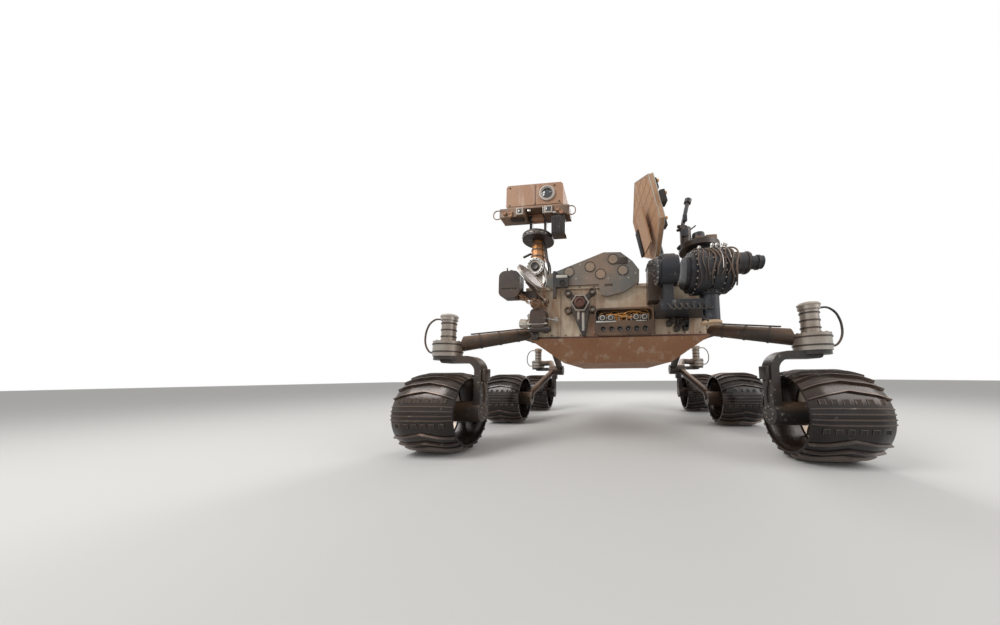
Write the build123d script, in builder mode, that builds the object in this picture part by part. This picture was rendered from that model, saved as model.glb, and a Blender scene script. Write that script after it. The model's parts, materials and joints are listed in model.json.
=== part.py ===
# Six-wheeled planetary rover, full size, in millimetres.
# The rover faces -Y, its port side is +X, and +Z is up. The origin is on the ground,
# under the middle of the rover's bounding box.
import os
from math import atan, atan2, cos, degrees, hypot, pi, radians, sin, tan

from build123d import *

os.makedirs("parts", exist_ok=True)

# Wheels and axles
wheel_radius = 254.0
wheel_width = 400.0
lug_height = 12.0
lug_count = 20
lug_width = 9.0
rim_skin = 6.0
rim_edge_drop = 14.0
rim_edge_width = 48.0
hub_radius = 84.0
hub_width = 52.0
hub_offset = 34.0
spoke_count = 8
spoke_thickness = 7.0
spoke_width = 44.0
spoke_bow = 34.0
spindle_radius = 30.0
drive_radius = 66.0
front_wheelbase = 1100.0
rear_wheelbase = 1050.0
corner_track = 1140.0
middle_track = 1160.0

# Gaps: what is seated, what runs on a shaft, and what moves past its neighbour
seat = 0.3
running = 0.3
clear = 6.0

# Body, deck and belly
body_half = 610.0
body_front = 950.0
body_rear = 690.0
body_bottom = 745.0
body_top = 1100.0
deck_side_overhang = 40.0
deck_overhang = 12.0
deck_thickness = 20.0
belly_depth = 165.0
belly_half = 400.0

# Rocker, bogie and steering
rocker_gap = 80.0
rocker_pivot_z = 832.0
rocker_knee_z = 800.0
rocker_radius = 42.0
rocker_hub_radius = 78.0
rocker_corner_y = 820.0
bogie_pivot_gap = 90.0
bogie_pivot_y = 520.0
bogie_pivot_z = 560.0
bogie_radius = 36.0
steer_housing_bottom = 616.0
steer_housing_top = 716.0
steer_housing_radius = 92.0
steer_column_radius = 46.0
steer_column_top = 862.0
steer_cap_height = 22.0
yoke_leg = 46.0
yoke_gap = 18.0
yoke_width = 96.0
yoke_bend = 84.0

# Mast and camera head
mast_outboard = 30.0
mast_y = 700.0
mast_foot_half = 58.0
mast_hinge_z = 1362.0
mast_hinge_radius = 82.0
mast_tube_radius = 60.0
mast_tube_taper = 12.0
pan_radius = 132.0
pan_height = 50.0
head_tilt_z = 1820.0
head_swing = 134.0
head_width = 474.0
head_depth = 230.0
head_height = 203.0
head_bottom = 1854.0
head_shift = -5.0
bar_width = 580.0
bar_height = 74.0
bar_depth = 118.0

# Steerable hexagonal antenna
antenna_x = 262.0
antenna_gap = 50.0
antenna_post_half = 50.0
antenna_post_bottom = 970.0
antenna_post_top = 1225.0
antenna_pivot_z = 1566.0
antenna_offset = 24.0
antenna_drum = 18.0
antenna_drum_half = 30.0
antenna_ear = 18.0
antenna_rod = 14.0
antenna_radius = 290.0
antenna_thickness = 30.0
antenna_lean = 12.5
antenna_turn = 6.0

# Arm: shoulder, elbow, wrist and turret
arm_inboard = 58.0
arm_y = 1175.0
arm_column_radius = 50.0
arm_column_bottom = 780.0
turntable_z = 948.0
turntable_radius = 58.0
shoulder_drum_z = 1090.0
shoulder_z = 1140.0
shoulder_out = 121.0
fixed_drum_radius = 100.0
arm_hub_radius = 62.0
arm_hub_width = 103.0
arm_cap_radius = 39.0
arm_cap_width = 80.0
arm_tube_radius = 48.0
elbow_y = 170.0
elbow_z = 1232.0
elbow_radius = 72.0
elbow_half = 44.0
forearm_out = 20.0
forearm_radius = 40.0
wrist_y = 600.0
wrist_z = 1345.0
wrist_radius = 44.0
wrist_half = 40.0
wrist_cheek = 22.0
turret_y = 800.0
turret_bottom = 1378.0
turret_radius = 92.0
turret_disc_radius = 140.0

# Power source
generator_front_y = 772.0
generator_length = 620.0
generator_z = 985.0
generator_radius = 132.0
generator_fin_radius = 315.0
generator_fin_count = 8
generator_fin_thickness = 10.0
generator_cap = 36.0

# Stations along Y, from the middle axle, which stands so that the origin is under the
# middle of the rover's length
front_reach = front_wheelbase + wheel_radius
rear_reach = generator_front_y + generator_length + generator_cap
mid_y = (front_reach - rear_reach) / 2
front_y = mid_y - front_wheelbase
rear_y = mid_y + rear_wheelbase
face_y = mid_y - body_front
forearm_x = body_half + forearm_out
back_y = mid_y + body_rear
deck_top = body_top + seat + deck_thickness
deck_half = body_half + deck_side_overhang
rocker_x = body_half + rocker_gap
bogie_pivot_x = rocker_x + bogie_pivot_gap
mast_x = -(body_half + mast_outboard)
arm_x = body_half - arm_inboard
rim_radius = wheel_radius - lug_height

sides = (("port", 1), ("starboard", -1))


def tube(start, end, radius, end_radius=None):
    """A round member from start to end, tapered where an end radius is given."""
    span = Vector(*end) - Vector(*start)
    with BuildPart() as member:
        with BuildSketch(Plane(origin=start, z_dir=span)):
            Circle(radius)
        if end_radius is None:
            extrude(amount=span.length)
        else:
            with BuildSketch(Plane(origin=end, z_dir=span)):
                Circle(end_radius)
            loft()
    return member.part


def block(low, high):
    """A straight-sided block between its lowest and highest corners."""
    middle = ((low[0] + high[0]) / 2, (low[1] + high[1]) / 2)
    with BuildPart() as solid:
        with BuildSketch(Plane.XY.offset(low[2])):
            with Locations(middle):
                Rectangle(high[0] - low[0], high[1] - low[1])
        extrude(amount=high[2] - low[2])
    return solid.part


def joint_ball(centre, radius):
    """A ball that rounds the meeting of two members."""
    with BuildPart() as ball:
        with Locations(centre):
            Sphere(radius)
    return ball.part


def held_cable(points, radius):
    """A cable held at both ends: its arcs are as large as the runs beside them allow."""
    places = [Vector(*point) for point in points]
    runs = [after - before for before, after in zip(places, places[1:])]
    bends = []
    for run, following in zip(runs, runs[1:]):
        half_turn = radians(run.get_angle(following)) / 2
        bends.append(0.45 * min(run.length, following.length) / tan(half_turn))
    with BuildPart() as cable:
        with BuildLine() as route:
            FilletPolyline(*places, radius=bends)
        with BuildSketch(Plane(origin=places[0], z_dir=runs[0])):
            Circle(radius)
        sweep(path=route.wires()[0])
    swept = pi * radius**2 * route.wires()[0].length
    print("bends", [round(bend) for bend in bends], "volume share", round(cable.part.volume / swept, 4))
    return cable.part


# Body: a closed box with bevelled upright edges
with BuildPart() as body_shell:
    with BuildSketch(Plane.XY.offset(body_bottom)):
        with Locations((0, (face_y + back_y) / 2)):
            Rectangle(2 * body_half, back_y - face_y)
    extrude(amount=body_top - body_bottom)
    chamfer(body_shell.edges().filter_by(Axis.Z), 26)
body_shell.part.label = "body_shell"
export_step(body_shell.part, "parts/body_shell.step")

# Belly pan: its walls slope in to a flat floor
with BuildPart() as belly_pan:
    with BuildSketch(Plane.XY.offset(body_bottom - seat)):
        with Locations((0, (face_y + back_y) / 2)):
            Rectangle(2 * body_half + 24, back_y - face_y + 16)
    with BuildSketch(Plane.XY.offset(body_bottom - seat - belly_depth)):
        with Locations((0, (face_y + back_y) / 2 + 30)):
            Rectangle(2 * belly_half, back_y - face_y - 260)
    loft()
belly_pan.part.label = "belly_pan"
export_step(belly_pan.part, "parts/belly_pan.step")

# Deck plate with its four lifting sockets
hoist_radius = 14.0
hoist_x = 520.0
hoist_front_y = 560.0
hoist_rear_y = 560.0
with BuildPart() as top_deck:
    with BuildSketch(Plane.XY.offset(body_top + seat)):
        with Locations((0, (face_y + back_y) / 2)):
            Rectangle(2 * deck_half, back_y - face_y + 2 * deck_overhang)
    extrude(amount=deck_thickness)
    with Locations(
        (hoist_x, mid_y - hoist_front_y, deck_top),
        (-hoist_x, mid_y - hoist_front_y, deck_top),
        (hoist_x, mid_y + hoist_rear_y, deck_top),
        (-hoist_x, mid_y + hoist_rear_y, deck_top),
    ):
        Hole(hoist_radius)
top_deck.part.label = "top_deck"
export_step(top_deck.part, "parts/top_deck.step")

# Front hood: a faceted cover over the front edge of the deck, with a lip that hangs before it
hood_length = 290.0
hood_lip = 14.0
hood_front_y = face_y - deck_overhang
hood_foot = deck_top + seat
with BuildPart() as deck_hood:
    with BuildSketch(Plane.XZ.offset(-(hood_front_y - seat))):
        with BuildLine():
            Polyline(
                (-495, hood_foot),
                (-490, 1206),
                (-300, 1275),
                (-82, 1355),
                (38, 1350),
                (118, 1282),
                (165, 1215),
                (160, hood_foot),
                close=True,
            )
        make_face()
    with BuildSketch(Plane.XZ.offset(-(hood_front_y + hood_length))):
        with BuildLine():
            Polyline(
                (-450, hood_foot),
                (-445, 1150),
                (-300, 1180),
                (-90, 1240),
                (10, 1240),
                (70, 1200),
                (115, 1165),
                (112, hood_foot),
                close=True,
            )
        make_face()
    loft()
    with BuildSketch(Plane.XZ.offset(-(hood_front_y - seat))):
        with BuildLine():
            Polyline(
                (-495, 1126),
                (-490, 1206),
                (-300, 1275),
                (-82, 1355),
                (38, 1350),
                (118, 1282),
                (165, 1215),
                (162, 1130),
                (60, 1062),
                (-60, 1034),
                (-104, 1046),
                (-120, 1122),
                (-400, 1122),
                (-440, 1092),
                close=True,
            )
        make_face()
    extrude(amount=hood_lip)
deck_hood.part.label = "deck_hood"
export_step(deck_hood.part, "parts/deck_hood.step")

# A small camera on a strap, which hangs from the hood's lip
strap_x = -430.0
strap_z = 1125.0
strap_width = 22.0
strap_height = 195.0
strap_camera_x = strap_x + 48
strap_camera_z = 1150.0
strap_camera_width = 96.0
strap_camera_height = 90.0
strap_depth = 26.0
with BuildPart() as hood_camera:
    with BuildSketch(Plane.XZ.offset(-(hood_front_y - 2 * seat - hood_lip))):
        with Locations((strap_x, strap_z)):
            Rectangle(strap_width, strap_height)
        with Locations((strap_camera_x, strap_camera_z)):
            Rectangle(strap_camera_width, strap_camera_height)
    extrude(amount=strap_depth)
hood_camera.part.label = "hood_camera"
export_step(hood_camera.part, "parts/hood_camera.step")

# Front camera bay: an arched housing with a shelf, open to the front
bay_low_x = -150.0
bay_high_x = 250.0
bay_depth = 62.0
bay_wall = 12.0
bay_low_z = 752.0
bay_high_z = 940.0
bay_shelf_z = 838.0
bay_hole_radius = 14.0
bay_hole_pitch = 56.0
bay_hole_count = 6
bay_mid_x = (bay_low_x + bay_high_x) / 2
bay_width = bay_high_x - bay_low_x
with BuildPart() as camera_bay:
    with BuildSketch(Plane.XZ.offset(-(face_y - seat))):
        with Locations((bay_mid_x, (bay_low_z + bay_high_z) / 2)):
            RectangleRounded(bay_width, bay_high_z - bay_low_z, 40)
    extrude(amount=bay_depth)
    with BuildSketch(Plane.XZ.offset(-(face_y - seat - bay_wall))):
        with Locations((bay_mid_x, (bay_shelf_z + bay_high_z) / 2)):
            RectangleRounded(bay_width - 2 * bay_wall, bay_high_z - bay_shelf_z - 2 * bay_wall, 24)
    extrude(amount=bay_depth, mode=Mode.SUBTRACT)
    with BuildSketch(Plane.XZ.offset(-(face_y - seat - bay_depth))):
        with Locations((bay_mid_x, (bay_low_z + bay_shelf_z) / 2)):
            with GridLocations(bay_hole_pitch, 0, bay_hole_count, 1):
                Circle(bay_hole_radius)
    extrude(amount=-bay_wall, mode=Mode.SUBTRACT)
camera_bay.part.label = "camera_bay"
export_step(camera_bay.part, "parts/camera_bay.step")

# Four front cameras on the bay's shelf
camera_spots = (-95.0, -40.0, 130.0, 185.0)
with BuildPart() as front_cameras:
    for camera_x in camera_spots:
        add(
            block(
                (camera_x - 22, face_y - seat - bay_wall - 40, bay_shelf_z + bay_wall + seat),
                (camera_x + 22, face_y - seat - bay_wall - seat, bay_shelf_z + bay_wall + 42),
            )
        )
        add(
            tube(
                (camera_x, face_y - bay_wall - 40, bay_shelf_z + bay_wall + 21),
                (camera_x, face_y - bay_depth - 6, bay_shelf_z + bay_wall + 21),
                15,
            )
        )
front_cameras.part.label = "front_cameras"
export_step(front_cameras.part, "parts/front_cameras.step")

# Launch restraint: a hub with four lobes on crossed arms, and a leg below
restraint_x = -250.0
restraint_z = 988.0
restraint_hub = 66.0
restraint_depth = 34.0
restraint_cap = 40.0
restraint_cap_depth = 26.0
restraint_foot_x = -228.0
restraint_foot_z = 762.0
leg_half = 66.0
leg_foot_half = 12.0
leg_drop = 40.0
lobe_radius = 26.0
lobe_arm = 30.0
lobes = ((-86, 76), (86, 80), (-86, -50), (86, -46))
with BuildPart() as arm_restraint:
    with BuildSketch(Plane.XZ.offset(-(face_y - seat))):
        with Locations((restraint_x, restraint_z)):
            RegularPolygon(restraint_hub, 6)
        for lobe_x, lobe_z in lobes:
            with Locations((restraint_x + lobe_x, restraint_z + lobe_z)):
                Circle(lobe_radius)
            with Locations((restraint_x + lobe_x / 2, restraint_z + lobe_z / 2)):
                Rectangle(hypot(lobe_x, lobe_z), lobe_arm, rotation=degrees(atan2(lobe_z, lobe_x)))
        with BuildLine():
            Polyline(
                (restraint_x - leg_half, restraint_z - leg_drop),
                (restraint_foot_x - leg_foot_half, restraint_foot_z),
                (restraint_foot_x + leg_foot_half, restraint_foot_z),
                (restraint_x + leg_half, restraint_z - leg_drop),
                close=True,
            )
        make_face()
    extrude(amount=restraint_depth)
    with BuildSketch(Plane.XZ.offset(-(face_y - seat - restraint_depth))):
        with Locations((restraint_x, restraint_z)):
            Circle(restraint_cap)
    extrude(amount=restraint_cap_depth)
arm_restraint.part.label = "arm_restraint"
export_step(arm_restraint.part, "parts/arm_restraint.step")

# Spare bit boxes: one outboard of the front starboard corner on its bracket, one inboard
box_width = 150.0
box_height = 190.0
box_depth = 84.0
box_corner = 44.0
box_centre = (-735, 1118)
box_bracket = 34.0
box_bracket_width = 230.0
box_bracket_height = 56.0
box_bracket_centre = (-680, 1062)
inner_box_centre = (-540, 880)
inner_box_width = 110.0
inner_box_height = 130.0
inner_box_corner = 28.0
with BuildPart() as bit_boxes:
    with BuildSketch(Plane.XZ.offset(-(face_y - seat))):
        with Locations(box_bracket_centre):
            Rectangle(box_bracket_width, box_bracket_height)
    extrude(amount=box_bracket)
    with BuildSketch(Plane.XZ.offset(-(face_y - seat - box_bracket))):
        with Locations(box_centre):
            RectangleRounded(box_width, box_height, box_corner)
    extrude(amount=box_depth)
    with BuildSketch(Plane.XZ.offset(-(face_y - seat))):
        with Locations(inner_box_centre):
            RectangleRounded(inner_box_width, inner_box_height, inner_box_corner)
    extrude(amount=box_depth)
bit_boxes.part.label = "bit_boxes"
export_step(bit_boxes.part, "parts/bit_boxes.step")

# Inspection tray: a tilted round dish on a post, with a ball-ended rod beside it
tray_x = -578.0
tray_z = 1140.0
tray_reach = 150.0
tray_radius = 104.0
tray_post = 14.0
rod_radius = 8.0
ball_radius = 20.0
tray_thickness = 14.0
tray_boss = 28.0
tray_boss_length = 30.0
tray_normal = Vector(0.75, -0.25, 0.6).normalized()
tray_centre = Vector(tray_x, face_y - tray_reach, tray_z)
tray_back = tray_centre - tray_normal * tray_boss_length
tray_foot = Vector(-530, face_y - 24, 1040)
rod_start = (tray_foot + tray_back) * 0.5
rod_end = (-462, face_y - tray_reach, 976)
with BuildPart() as inspection_tray:
    with BuildSketch(Plane(origin=tray_centre, z_dir=tray_normal)):
        Circle(tray_radius)
    extrude(amount=tray_thickness)
    add(tube((tray_foot.X, face_y - seat, tray_foot.Z), tray_foot, tray_post))
    add(joint_ball(tray_foot, tray_post))
    add(tube(tray_foot, tray_back, tray_post))
    add(tube(tray_back, tray_centre, tray_boss))
    add(tube(rod_start, rod_end, rod_radius))
    add(joint_ball(rod_end, ball_radius))
inspection_tray.part.label = "inspection_tray"
export_step(inspection_tray.part, "parts/inspection_tray.step")

# Mast: foot, hinge drum and tapered tube with the pan drum on top
mast_station = mid_y - mast_y
pan_disc_height = 12.0
pan_base = head_tilt_z - head_swing - clear - pan_disc_height
pan_bottom = pan_base - running - pan_height
mast_foot_front = 62.0
mast_foot_rear = 70.0
hinge_half = 88.0
hinge_ring = 14.0
with BuildPart() as mast_base:
    add(
        block(
            (mast_x - mast_foot_half, mast_station - mast_foot_front, deck_top + seat),
            (mast_x + mast_foot_half, mast_station + mast_foot_rear, mast_hinge_z - 30),
        )
    )
    for ring_start, ring_end, ring_drop in (
        (-hinge_half, -hinge_half + hinge_ring, 10),
        (-hinge_half + hinge_ring, hinge_half - hinge_ring, 0),
        (hinge_half - hinge_ring, hinge_half, 10),
    ):
        add(
            tube(
                (mast_x, mast_station + ring_start, mast_hinge_z),
                (mast_x, mast_station + ring_end, mast_hinge_z),
                mast_hinge_radius - ring_drop,
            )
        )
mast_base.part.label = "mast_base"
export_step(mast_base.part, "parts/mast_base.step")

# Two hoses run from the mast's foot over the front edge of the deck into the front panel:
# place across, distance behind the front panel, and height above the deck
hose_radius = 5.0
hose_pitch = 12.0
hose_route = (
    (-600, body_front - mast_y - mast_foot_front - 1.4, 70),
    (-592, 150, 68),
    (-572, 98, 60),
    (-548, 40, 46),
    (-520, -22, 24),
    (-505, -42, -30),
    (-498, -44, -80),
    (-496, -30, -130),
    (-496, -1, -132),
)
with BuildPart() as front_hoses:
    for hose_number in range(2):
        hose_shift = hose_number * hose_pitch
        hose_points = [(x - hose_shift, face_y + behind, deck_top + up) for x, behind, up in hose_route]
        add(held_cable(hose_points, hose_radius))
front_hoses.part.label = "front_hoses"
export_step(front_hoses.part, "parts/front_hoses.step")

with BuildPart() as mast_tube:
    with BuildSketch(Plane.XY.offset(mast_hinge_z + mast_hinge_radius + seat)):
        with Locations((mast_x, mast_station)):
            Circle(mast_tube_radius)
    with BuildSketch(Plane.XY.offset(pan_bottom)):
        with Locations((mast_x, mast_station)):
            Circle(mast_tube_radius - mast_tube_taper)
    loft()
    with BuildSketch(Plane.XY.offset(pan_bottom)):
        with Locations((mast_x, mast_station)):
            Circle(pan_radius)
    extrude(amount=pan_height)
    chamfer(mast_tube.edges().group_by(Axis.Z)[-1], 12)
mast_tube.part.label = "mast_tube"
export_step(mast_tube.part, "parts/mast_tube.step")

# Pan column: turns on the drum and carries the head between two cheeks
pan_disc_radius = 96.0
cheek_half = 62.0
cheek_radius = 28.0
cheek_arm_half = 16.0
cheek_thickness = 22.0
with BuildPart() as mast_pan:
    with BuildSketch(Plane.XY.offset(pan_base)):
        with Locations((mast_x, mast_station)):
            Circle(pan_disc_radius)
    extrude(amount=pan_disc_height)
    for cheek_side in (-1, 1):
        with BuildSketch(Plane.YZ.offset(mast_x + cheek_side * cheek_half - cheek_thickness / 2)):
            with Locations((mast_station, (pan_base + head_tilt_z) / 2)):
                Rectangle(2 * cheek_arm_half, head_tilt_z - pan_base)
            with Locations((mast_station, head_tilt_z)):
                Circle(cheek_radius)
        extrude(amount=cheek_thickness)
mast_pan.part.label = "mast_pan"
export_step(mast_pan.part, "parts/mast_pan.step")

# Head: a box with a lens ring, its tilt drum between the cheeks and a neck above the drum
head_front = mast_station - head_depth / 2
head_middle = mast_x + head_shift
lens_x = mast_x + 102
lens_z = head_bottom + 110
lens_ring = 62.0
lens_bore = 50.0
lens_depth = 20.0
tilt_drum_half = cheek_half - cheek_thickness / 2 - running
tilt_drum_radius = 26.0
with BuildPart() as mast_head:
    with BuildSketch(Plane.XY.offset(head_bottom)):
        with Locations((head_middle, mast_station)):
            Rectangle(head_width, head_depth)
    extrude(amount=head_height)
    chamfer(mast_head.edges().filter_by(Axis.Y), 16)
    with BuildSketch(Plane.XZ.offset(-head_front)):
        with Locations((lens_x, lens_z)):
            Circle(lens_ring)
    extrude(amount=lens_depth / 2)
    with BuildSketch(Plane.XZ.offset(-(head_front - lens_depth / 2))):
        with Locations((lens_x, lens_z)):
            Circle(lens_bore)
    extrude(amount=-lens_depth, mode=Mode.SUBTRACT)
    add(
        tube(
            (mast_x - tilt_drum_half, mast_station, head_tilt_z),
            (mast_x + tilt_drum_half, mast_station, head_tilt_z),
            tilt_drum_radius,
        )
    )
    add(
        block(
            (mast_x - 40, mast_station - 24, head_tilt_z),
            (mast_x + 40, mast_station + 24, head_bottom + 10),
        )
    )
mast_head.part.label = "mast_head"
export_step(mast_head.part, "parts/mast_head.step")

# The bar is a thin plate with a block of cameras at each end, clear of the cheeks
bar_front = head_front - 4
bar_plate = 10.0
bar_low_x = head_middle - bar_width / 2
bar_high_x = head_middle + bar_width / 2
bar_inner = cheek_half + cheek_thickness / 2 + clear
bar_top = head_bottom - seat
eye_depth = 8.0
with BuildPart() as camera_bar:
    add(
        block(
            (bar_low_x, bar_front, bar_top - bar_plate),
            (bar_high_x, mast_station - cheek_radius - clear, bar_top),
        )
    )
    for block_low, block_high in (
        (bar_low_x, mast_x - bar_inner),
        (mast_x + bar_inner, bar_high_x),
    ):
        add(
            block(
                (block_low, bar_front, bar_top - bar_height),
                (block_high, bar_front + bar_depth, bar_top - bar_plate),
            )
        )
    for eye_x, eye_half in ((-120, 34), (bar_inner + 37, 37)):
        add(
            block(
                (mast_x + eye_x - eye_half, bar_front - eye_depth, bar_top - 72),
                (mast_x + eye_x + eye_half, bar_front, bar_top - 4),
            )
        )
camera_bar.part.label = "camera_bar"
export_step(camera_bar.part, "parts/camera_bar.step")

# Ribbed box under the bar's end, outside the pan drum
heatsink_low_x = mast_x + pan_radius + clear
heatsink_high_x = heatsink_low_x + 112
heatsink_drop = 160.0
heatsink_depth = 100.0
with BuildPart() as head_heatsink:
    add(
        block(
            (heatsink_low_x, bar_front + 6, bar_top - bar_height - heatsink_drop),
            (heatsink_high_x, bar_front + heatsink_depth, bar_top - bar_height - seat),
        )
    )
head_heatsink.part.label = "head_heatsink"
export_step(head_heatsink.part, "parts/head_heatsink.step")

# Steerable antenna: a post on the front panel, a turning arm and a hexagonal plate
antenna_station = face_y - antenna_gap
with BuildPart() as antenna_post:
    add(
        block(
            (antenna_x - antenna_post_half, antenna_station - antenna_gap + seat, antenna_post_bottom),
            (antenna_x + antenna_post_half, face_y - deck_overhang - seat, antenna_post_top),
        )
    )
    add(
        block(
            (antenna_x - antenna_post_half, face_y - deck_overhang - 2, antenna_post_bottom),
            (antenna_x + antenna_post_half, face_y - seat, antenna_post_bottom + 90),
        )
    )
antenna_post.part.label = "antenna_post"
export_step(antenna_post.part, "parts/antenna_post.step")

# The plate stands on a corner. Its face normal is turned from -X and leans down, and it tilts
# on a drum level with its middle, close behind it. The arm climbs behind the plate
turn = radians(antenna_turn)
lean = radians(antenna_lean)
antenna_normal = Vector(-cos(turn) * cos(lean), -sin(turn) * cos(lean), -sin(lean))
antenna_across = Vector(-sin(turn), cos(turn), 0)
antenna_up = antenna_normal.cross(antenna_across)
antenna_down = antenna_up * (-1 if antenna_up.Z > 0 else 1)
antenna_pivot = Vector(antenna_x, antenna_station, antenna_pivot_z)
antenna_back = Plane(
    origin=antenna_pivot + antenna_normal * antenna_offset,
    x_dir=antenna_across,
    z_dir=antenna_normal,
)
arm_disc_radius = 40.0
arm_disc_height = 30.0
arm_disc_middle = antenna_post_top + running + arm_disc_height / 2
antenna_elbow = antenna_pivot + antenna_down * ((antenna_pivot_z - arm_disc_middle) / cos(lean))
with BuildPart() as antenna_arm:
    with BuildSketch(Plane.XY.offset(antenna_post_top + running)):
        with Locations((antenna_x, antenna_station)):
            Circle(arm_disc_radius)
    extrude(amount=arm_disc_height)
    add(tube((antenna_x, antenna_station, arm_disc_middle), antenna_elbow, antenna_rod))
    add(joint_ball(antenna_elbow, antenna_rod))
    add(tube(antenna_elbow, antenna_pivot, antenna_rod))
    add(
        tube(
            antenna_pivot - antenna_across * antenna_drum_half,
            antenna_pivot + antenna_across * antenna_drum_half,
            antenna_drum,
        )
    )
antenna_arm.part.label = "antenna_arm"
export_step(antenna_arm.part, "parts/antenna_arm.step")

shade_gap = 34.0
shade_width = 150.0
shade_height = 250.0
shade_thickness = 10.0
shade_plane = antenna_back.offset(antenna_thickness + shade_gap)
with BuildPart() as antenna_plate:
    with BuildSketch(antenna_back):
        RegularPolygon(antenna_radius, 6, rotation=30)
    extrude(amount=antenna_thickness)
    for ear_side in (-1, 1):
        ear_near = ear_side * (antenna_drum_half + running)
        ear_far = ear_side * (antenna_drum_half + running + antenna_ear)
        add(
            tube(
                antenna_pivot + antenna_across * ear_near,
                antenna_pivot + antenna_across * ear_far,
                antenna_offset + 4,
            )
        )
    shade_centre = shade_plane.origin + antenna_down * 90 - antenna_across * 40
    with BuildSketch(Plane(origin=shade_centre, x_dir=antenna_across, z_dir=antenna_normal)):
        Rectangle(shade_width, shade_height)
    extrude(amount=shade_thickness)
    add(tube(shade_centre - antenna_normal * (shade_gap + 2), shade_centre, 20))
antenna_plate.part.label = "antenna_plate"
export_step(antenna_plate.part, "parts/antenna_plate.step")

# Rockers: from the pivot on the body's side forward to the front steering housing, and
# back down to the bogie's pivot
pivot_y = mid_y + 60
knee_y = mid_y - rocker_corner_y
bogie_y = mid_y + bogie_pivot_y
bogie_run = 40.0
bogie_rise = 44.0
for side_name, side in sides:
    corner_x = side * corner_track
    knee = (side * (rocker_x + 6), knee_y, rocker_knee_z)
    with BuildPart() as rocker:
        add(
            tube(
                (side * (body_half + seat), pivot_y, rocker_pivot_z),
                (side * (rocker_x + 50), pivot_y, rocker_pivot_z),
                rocker_hub_radius,
            )
        )
        add(tube((side * rocker_x, pivot_y, rocker_pivot_z), knee, rocker_radius))
        add(joint_ball(knee, rocker_radius))
        add(tube(knee, (corner_x, front_y, steer_housing_top - 28), rocker_radius, 54))
        add(
            tube(
                (side * rocker_x, pivot_y, rocker_pivot_z),
                (side * (rocker_x + 10), bogie_y - bogie_run, bogie_pivot_z + bogie_rise),
                rocker_radius,
                rocker_radius - 4,
            )
        )
        add(
            tube(
                (side * (rocker_x - 34), bogie_y, bogie_pivot_z),
                (side * (bogie_pivot_x - 40), bogie_y, bogie_pivot_z),
                58,
            )
        )
        add(
            tube(
                (side * (rocker_x + 10), bogie_y - bogie_run, bogie_pivot_z + bogie_rise),
                (side * (rocker_x + 10), bogie_y, bogie_pivot_z),
                rocker_radius - 4,
            )
        )
        add(
            tube(
                (corner_x, front_y, steer_housing_bottom - clear),
                (corner_x, front_y, steer_column_top),
                steer_housing_radius + seat,
            ),
            mode=Mode.SUBTRACT,
        )
    rocker.part.label = f"rocker_{side_name}"
    export_step(rocker.part, f"parts/rocker_{side_name}.step")

    leg_x = side * (middle_track - wheel_width / 2 - yoke_gap - yoke_leg / 2)
    with BuildPart() as bogie:
        add(
            tube(
                (side * (bogie_pivot_x - 40 + seat), bogie_y, bogie_pivot_z),
                (side * (bogie_pivot_x + 50), bogie_y, bogie_pivot_z),
                60,
            )
        )
        add(
            tube(
                (side * bogie_pivot_x, bogie_y, bogie_pivot_z),
                (leg_x, mid_y + 60, wheel_radius + 60),
                bogie_radius,
            )
        )
        add(joint_ball((leg_x, mid_y + 60, wheel_radius + 60), bogie_radius))
        add(
            tube(
                (leg_x, mid_y + 60, wheel_radius + 60),
                (leg_x, mid_y, wheel_radius),
                bogie_radius,
            )
        )
        add(
            tube(
                (leg_x - side * yoke_leg / 2, mid_y, wheel_radius),
                (side * (middle_track + hub_offset - seat), mid_y, wheel_radius),
                drive_radius,
            )
        )
        add(
            tube(
                (side * middle_track, mid_y, wheel_radius),
                (side * (middle_track + hub_offset + hub_width - 12), mid_y, wheel_radius),
                spindle_radius,
            )
        )
        add(
            tube(
                (side * bogie_pivot_x, bogie_y, bogie_pivot_z),
                (side * 900, rear_y - 190, steer_housing_top - 40),
                bogie_radius,
            )
        )
        add(joint_ball((side * 900, rear_y - 190, steer_housing_top - 40), bogie_radius))
        add(
            tube(
                (side * 900, rear_y - 190, steer_housing_top - 40),
                (corner_x, rear_y, steer_housing_top - 40),
                bogie_radius,
            )
        )
        add(
            tube(
                (corner_x, rear_y, steer_housing_bottom - clear),
                (corner_x, rear_y, steer_column_top),
                steer_housing_radius + seat,
            ),
            mode=Mode.SUBTRACT,
        )
    bogie.part.label = f"bogie_{side_name}"
    export_step(bogie.part, f"parts/bogie_{side_name}.step")

# Corners: the steering drives, which stay, and the yokes and hubs below them, which turn
corners = (
    ("front_port", 1, front_y),
    ("front_starboard", -1, front_y),
    ("rear_port", 1, rear_y),
    ("rear_starboard", -1, rear_y),
)
yoke_top = steer_housing_bottom - running
with BuildPart() as steering_drives:
    for corner_name, side, corner_y in corners:
        for drum_low, drum_high, drum_radius in (
            (steer_housing_bottom, steer_housing_top, steer_housing_radius),
            (steer_housing_top, steer_column_top, steer_column_radius),
            (steer_column_top, steer_column_top + steer_cap_height, steer_column_radius + 8),
        ):
            add(
                tube(
                    (side * corner_track, corner_y, drum_low),
                    (side * corner_track, corner_y, drum_high),
                    drum_radius,
                )
            )
steering_drives.part.label = "steering_drives"
export_step(steering_drives.part, "parts/steering_drives.step")

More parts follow.
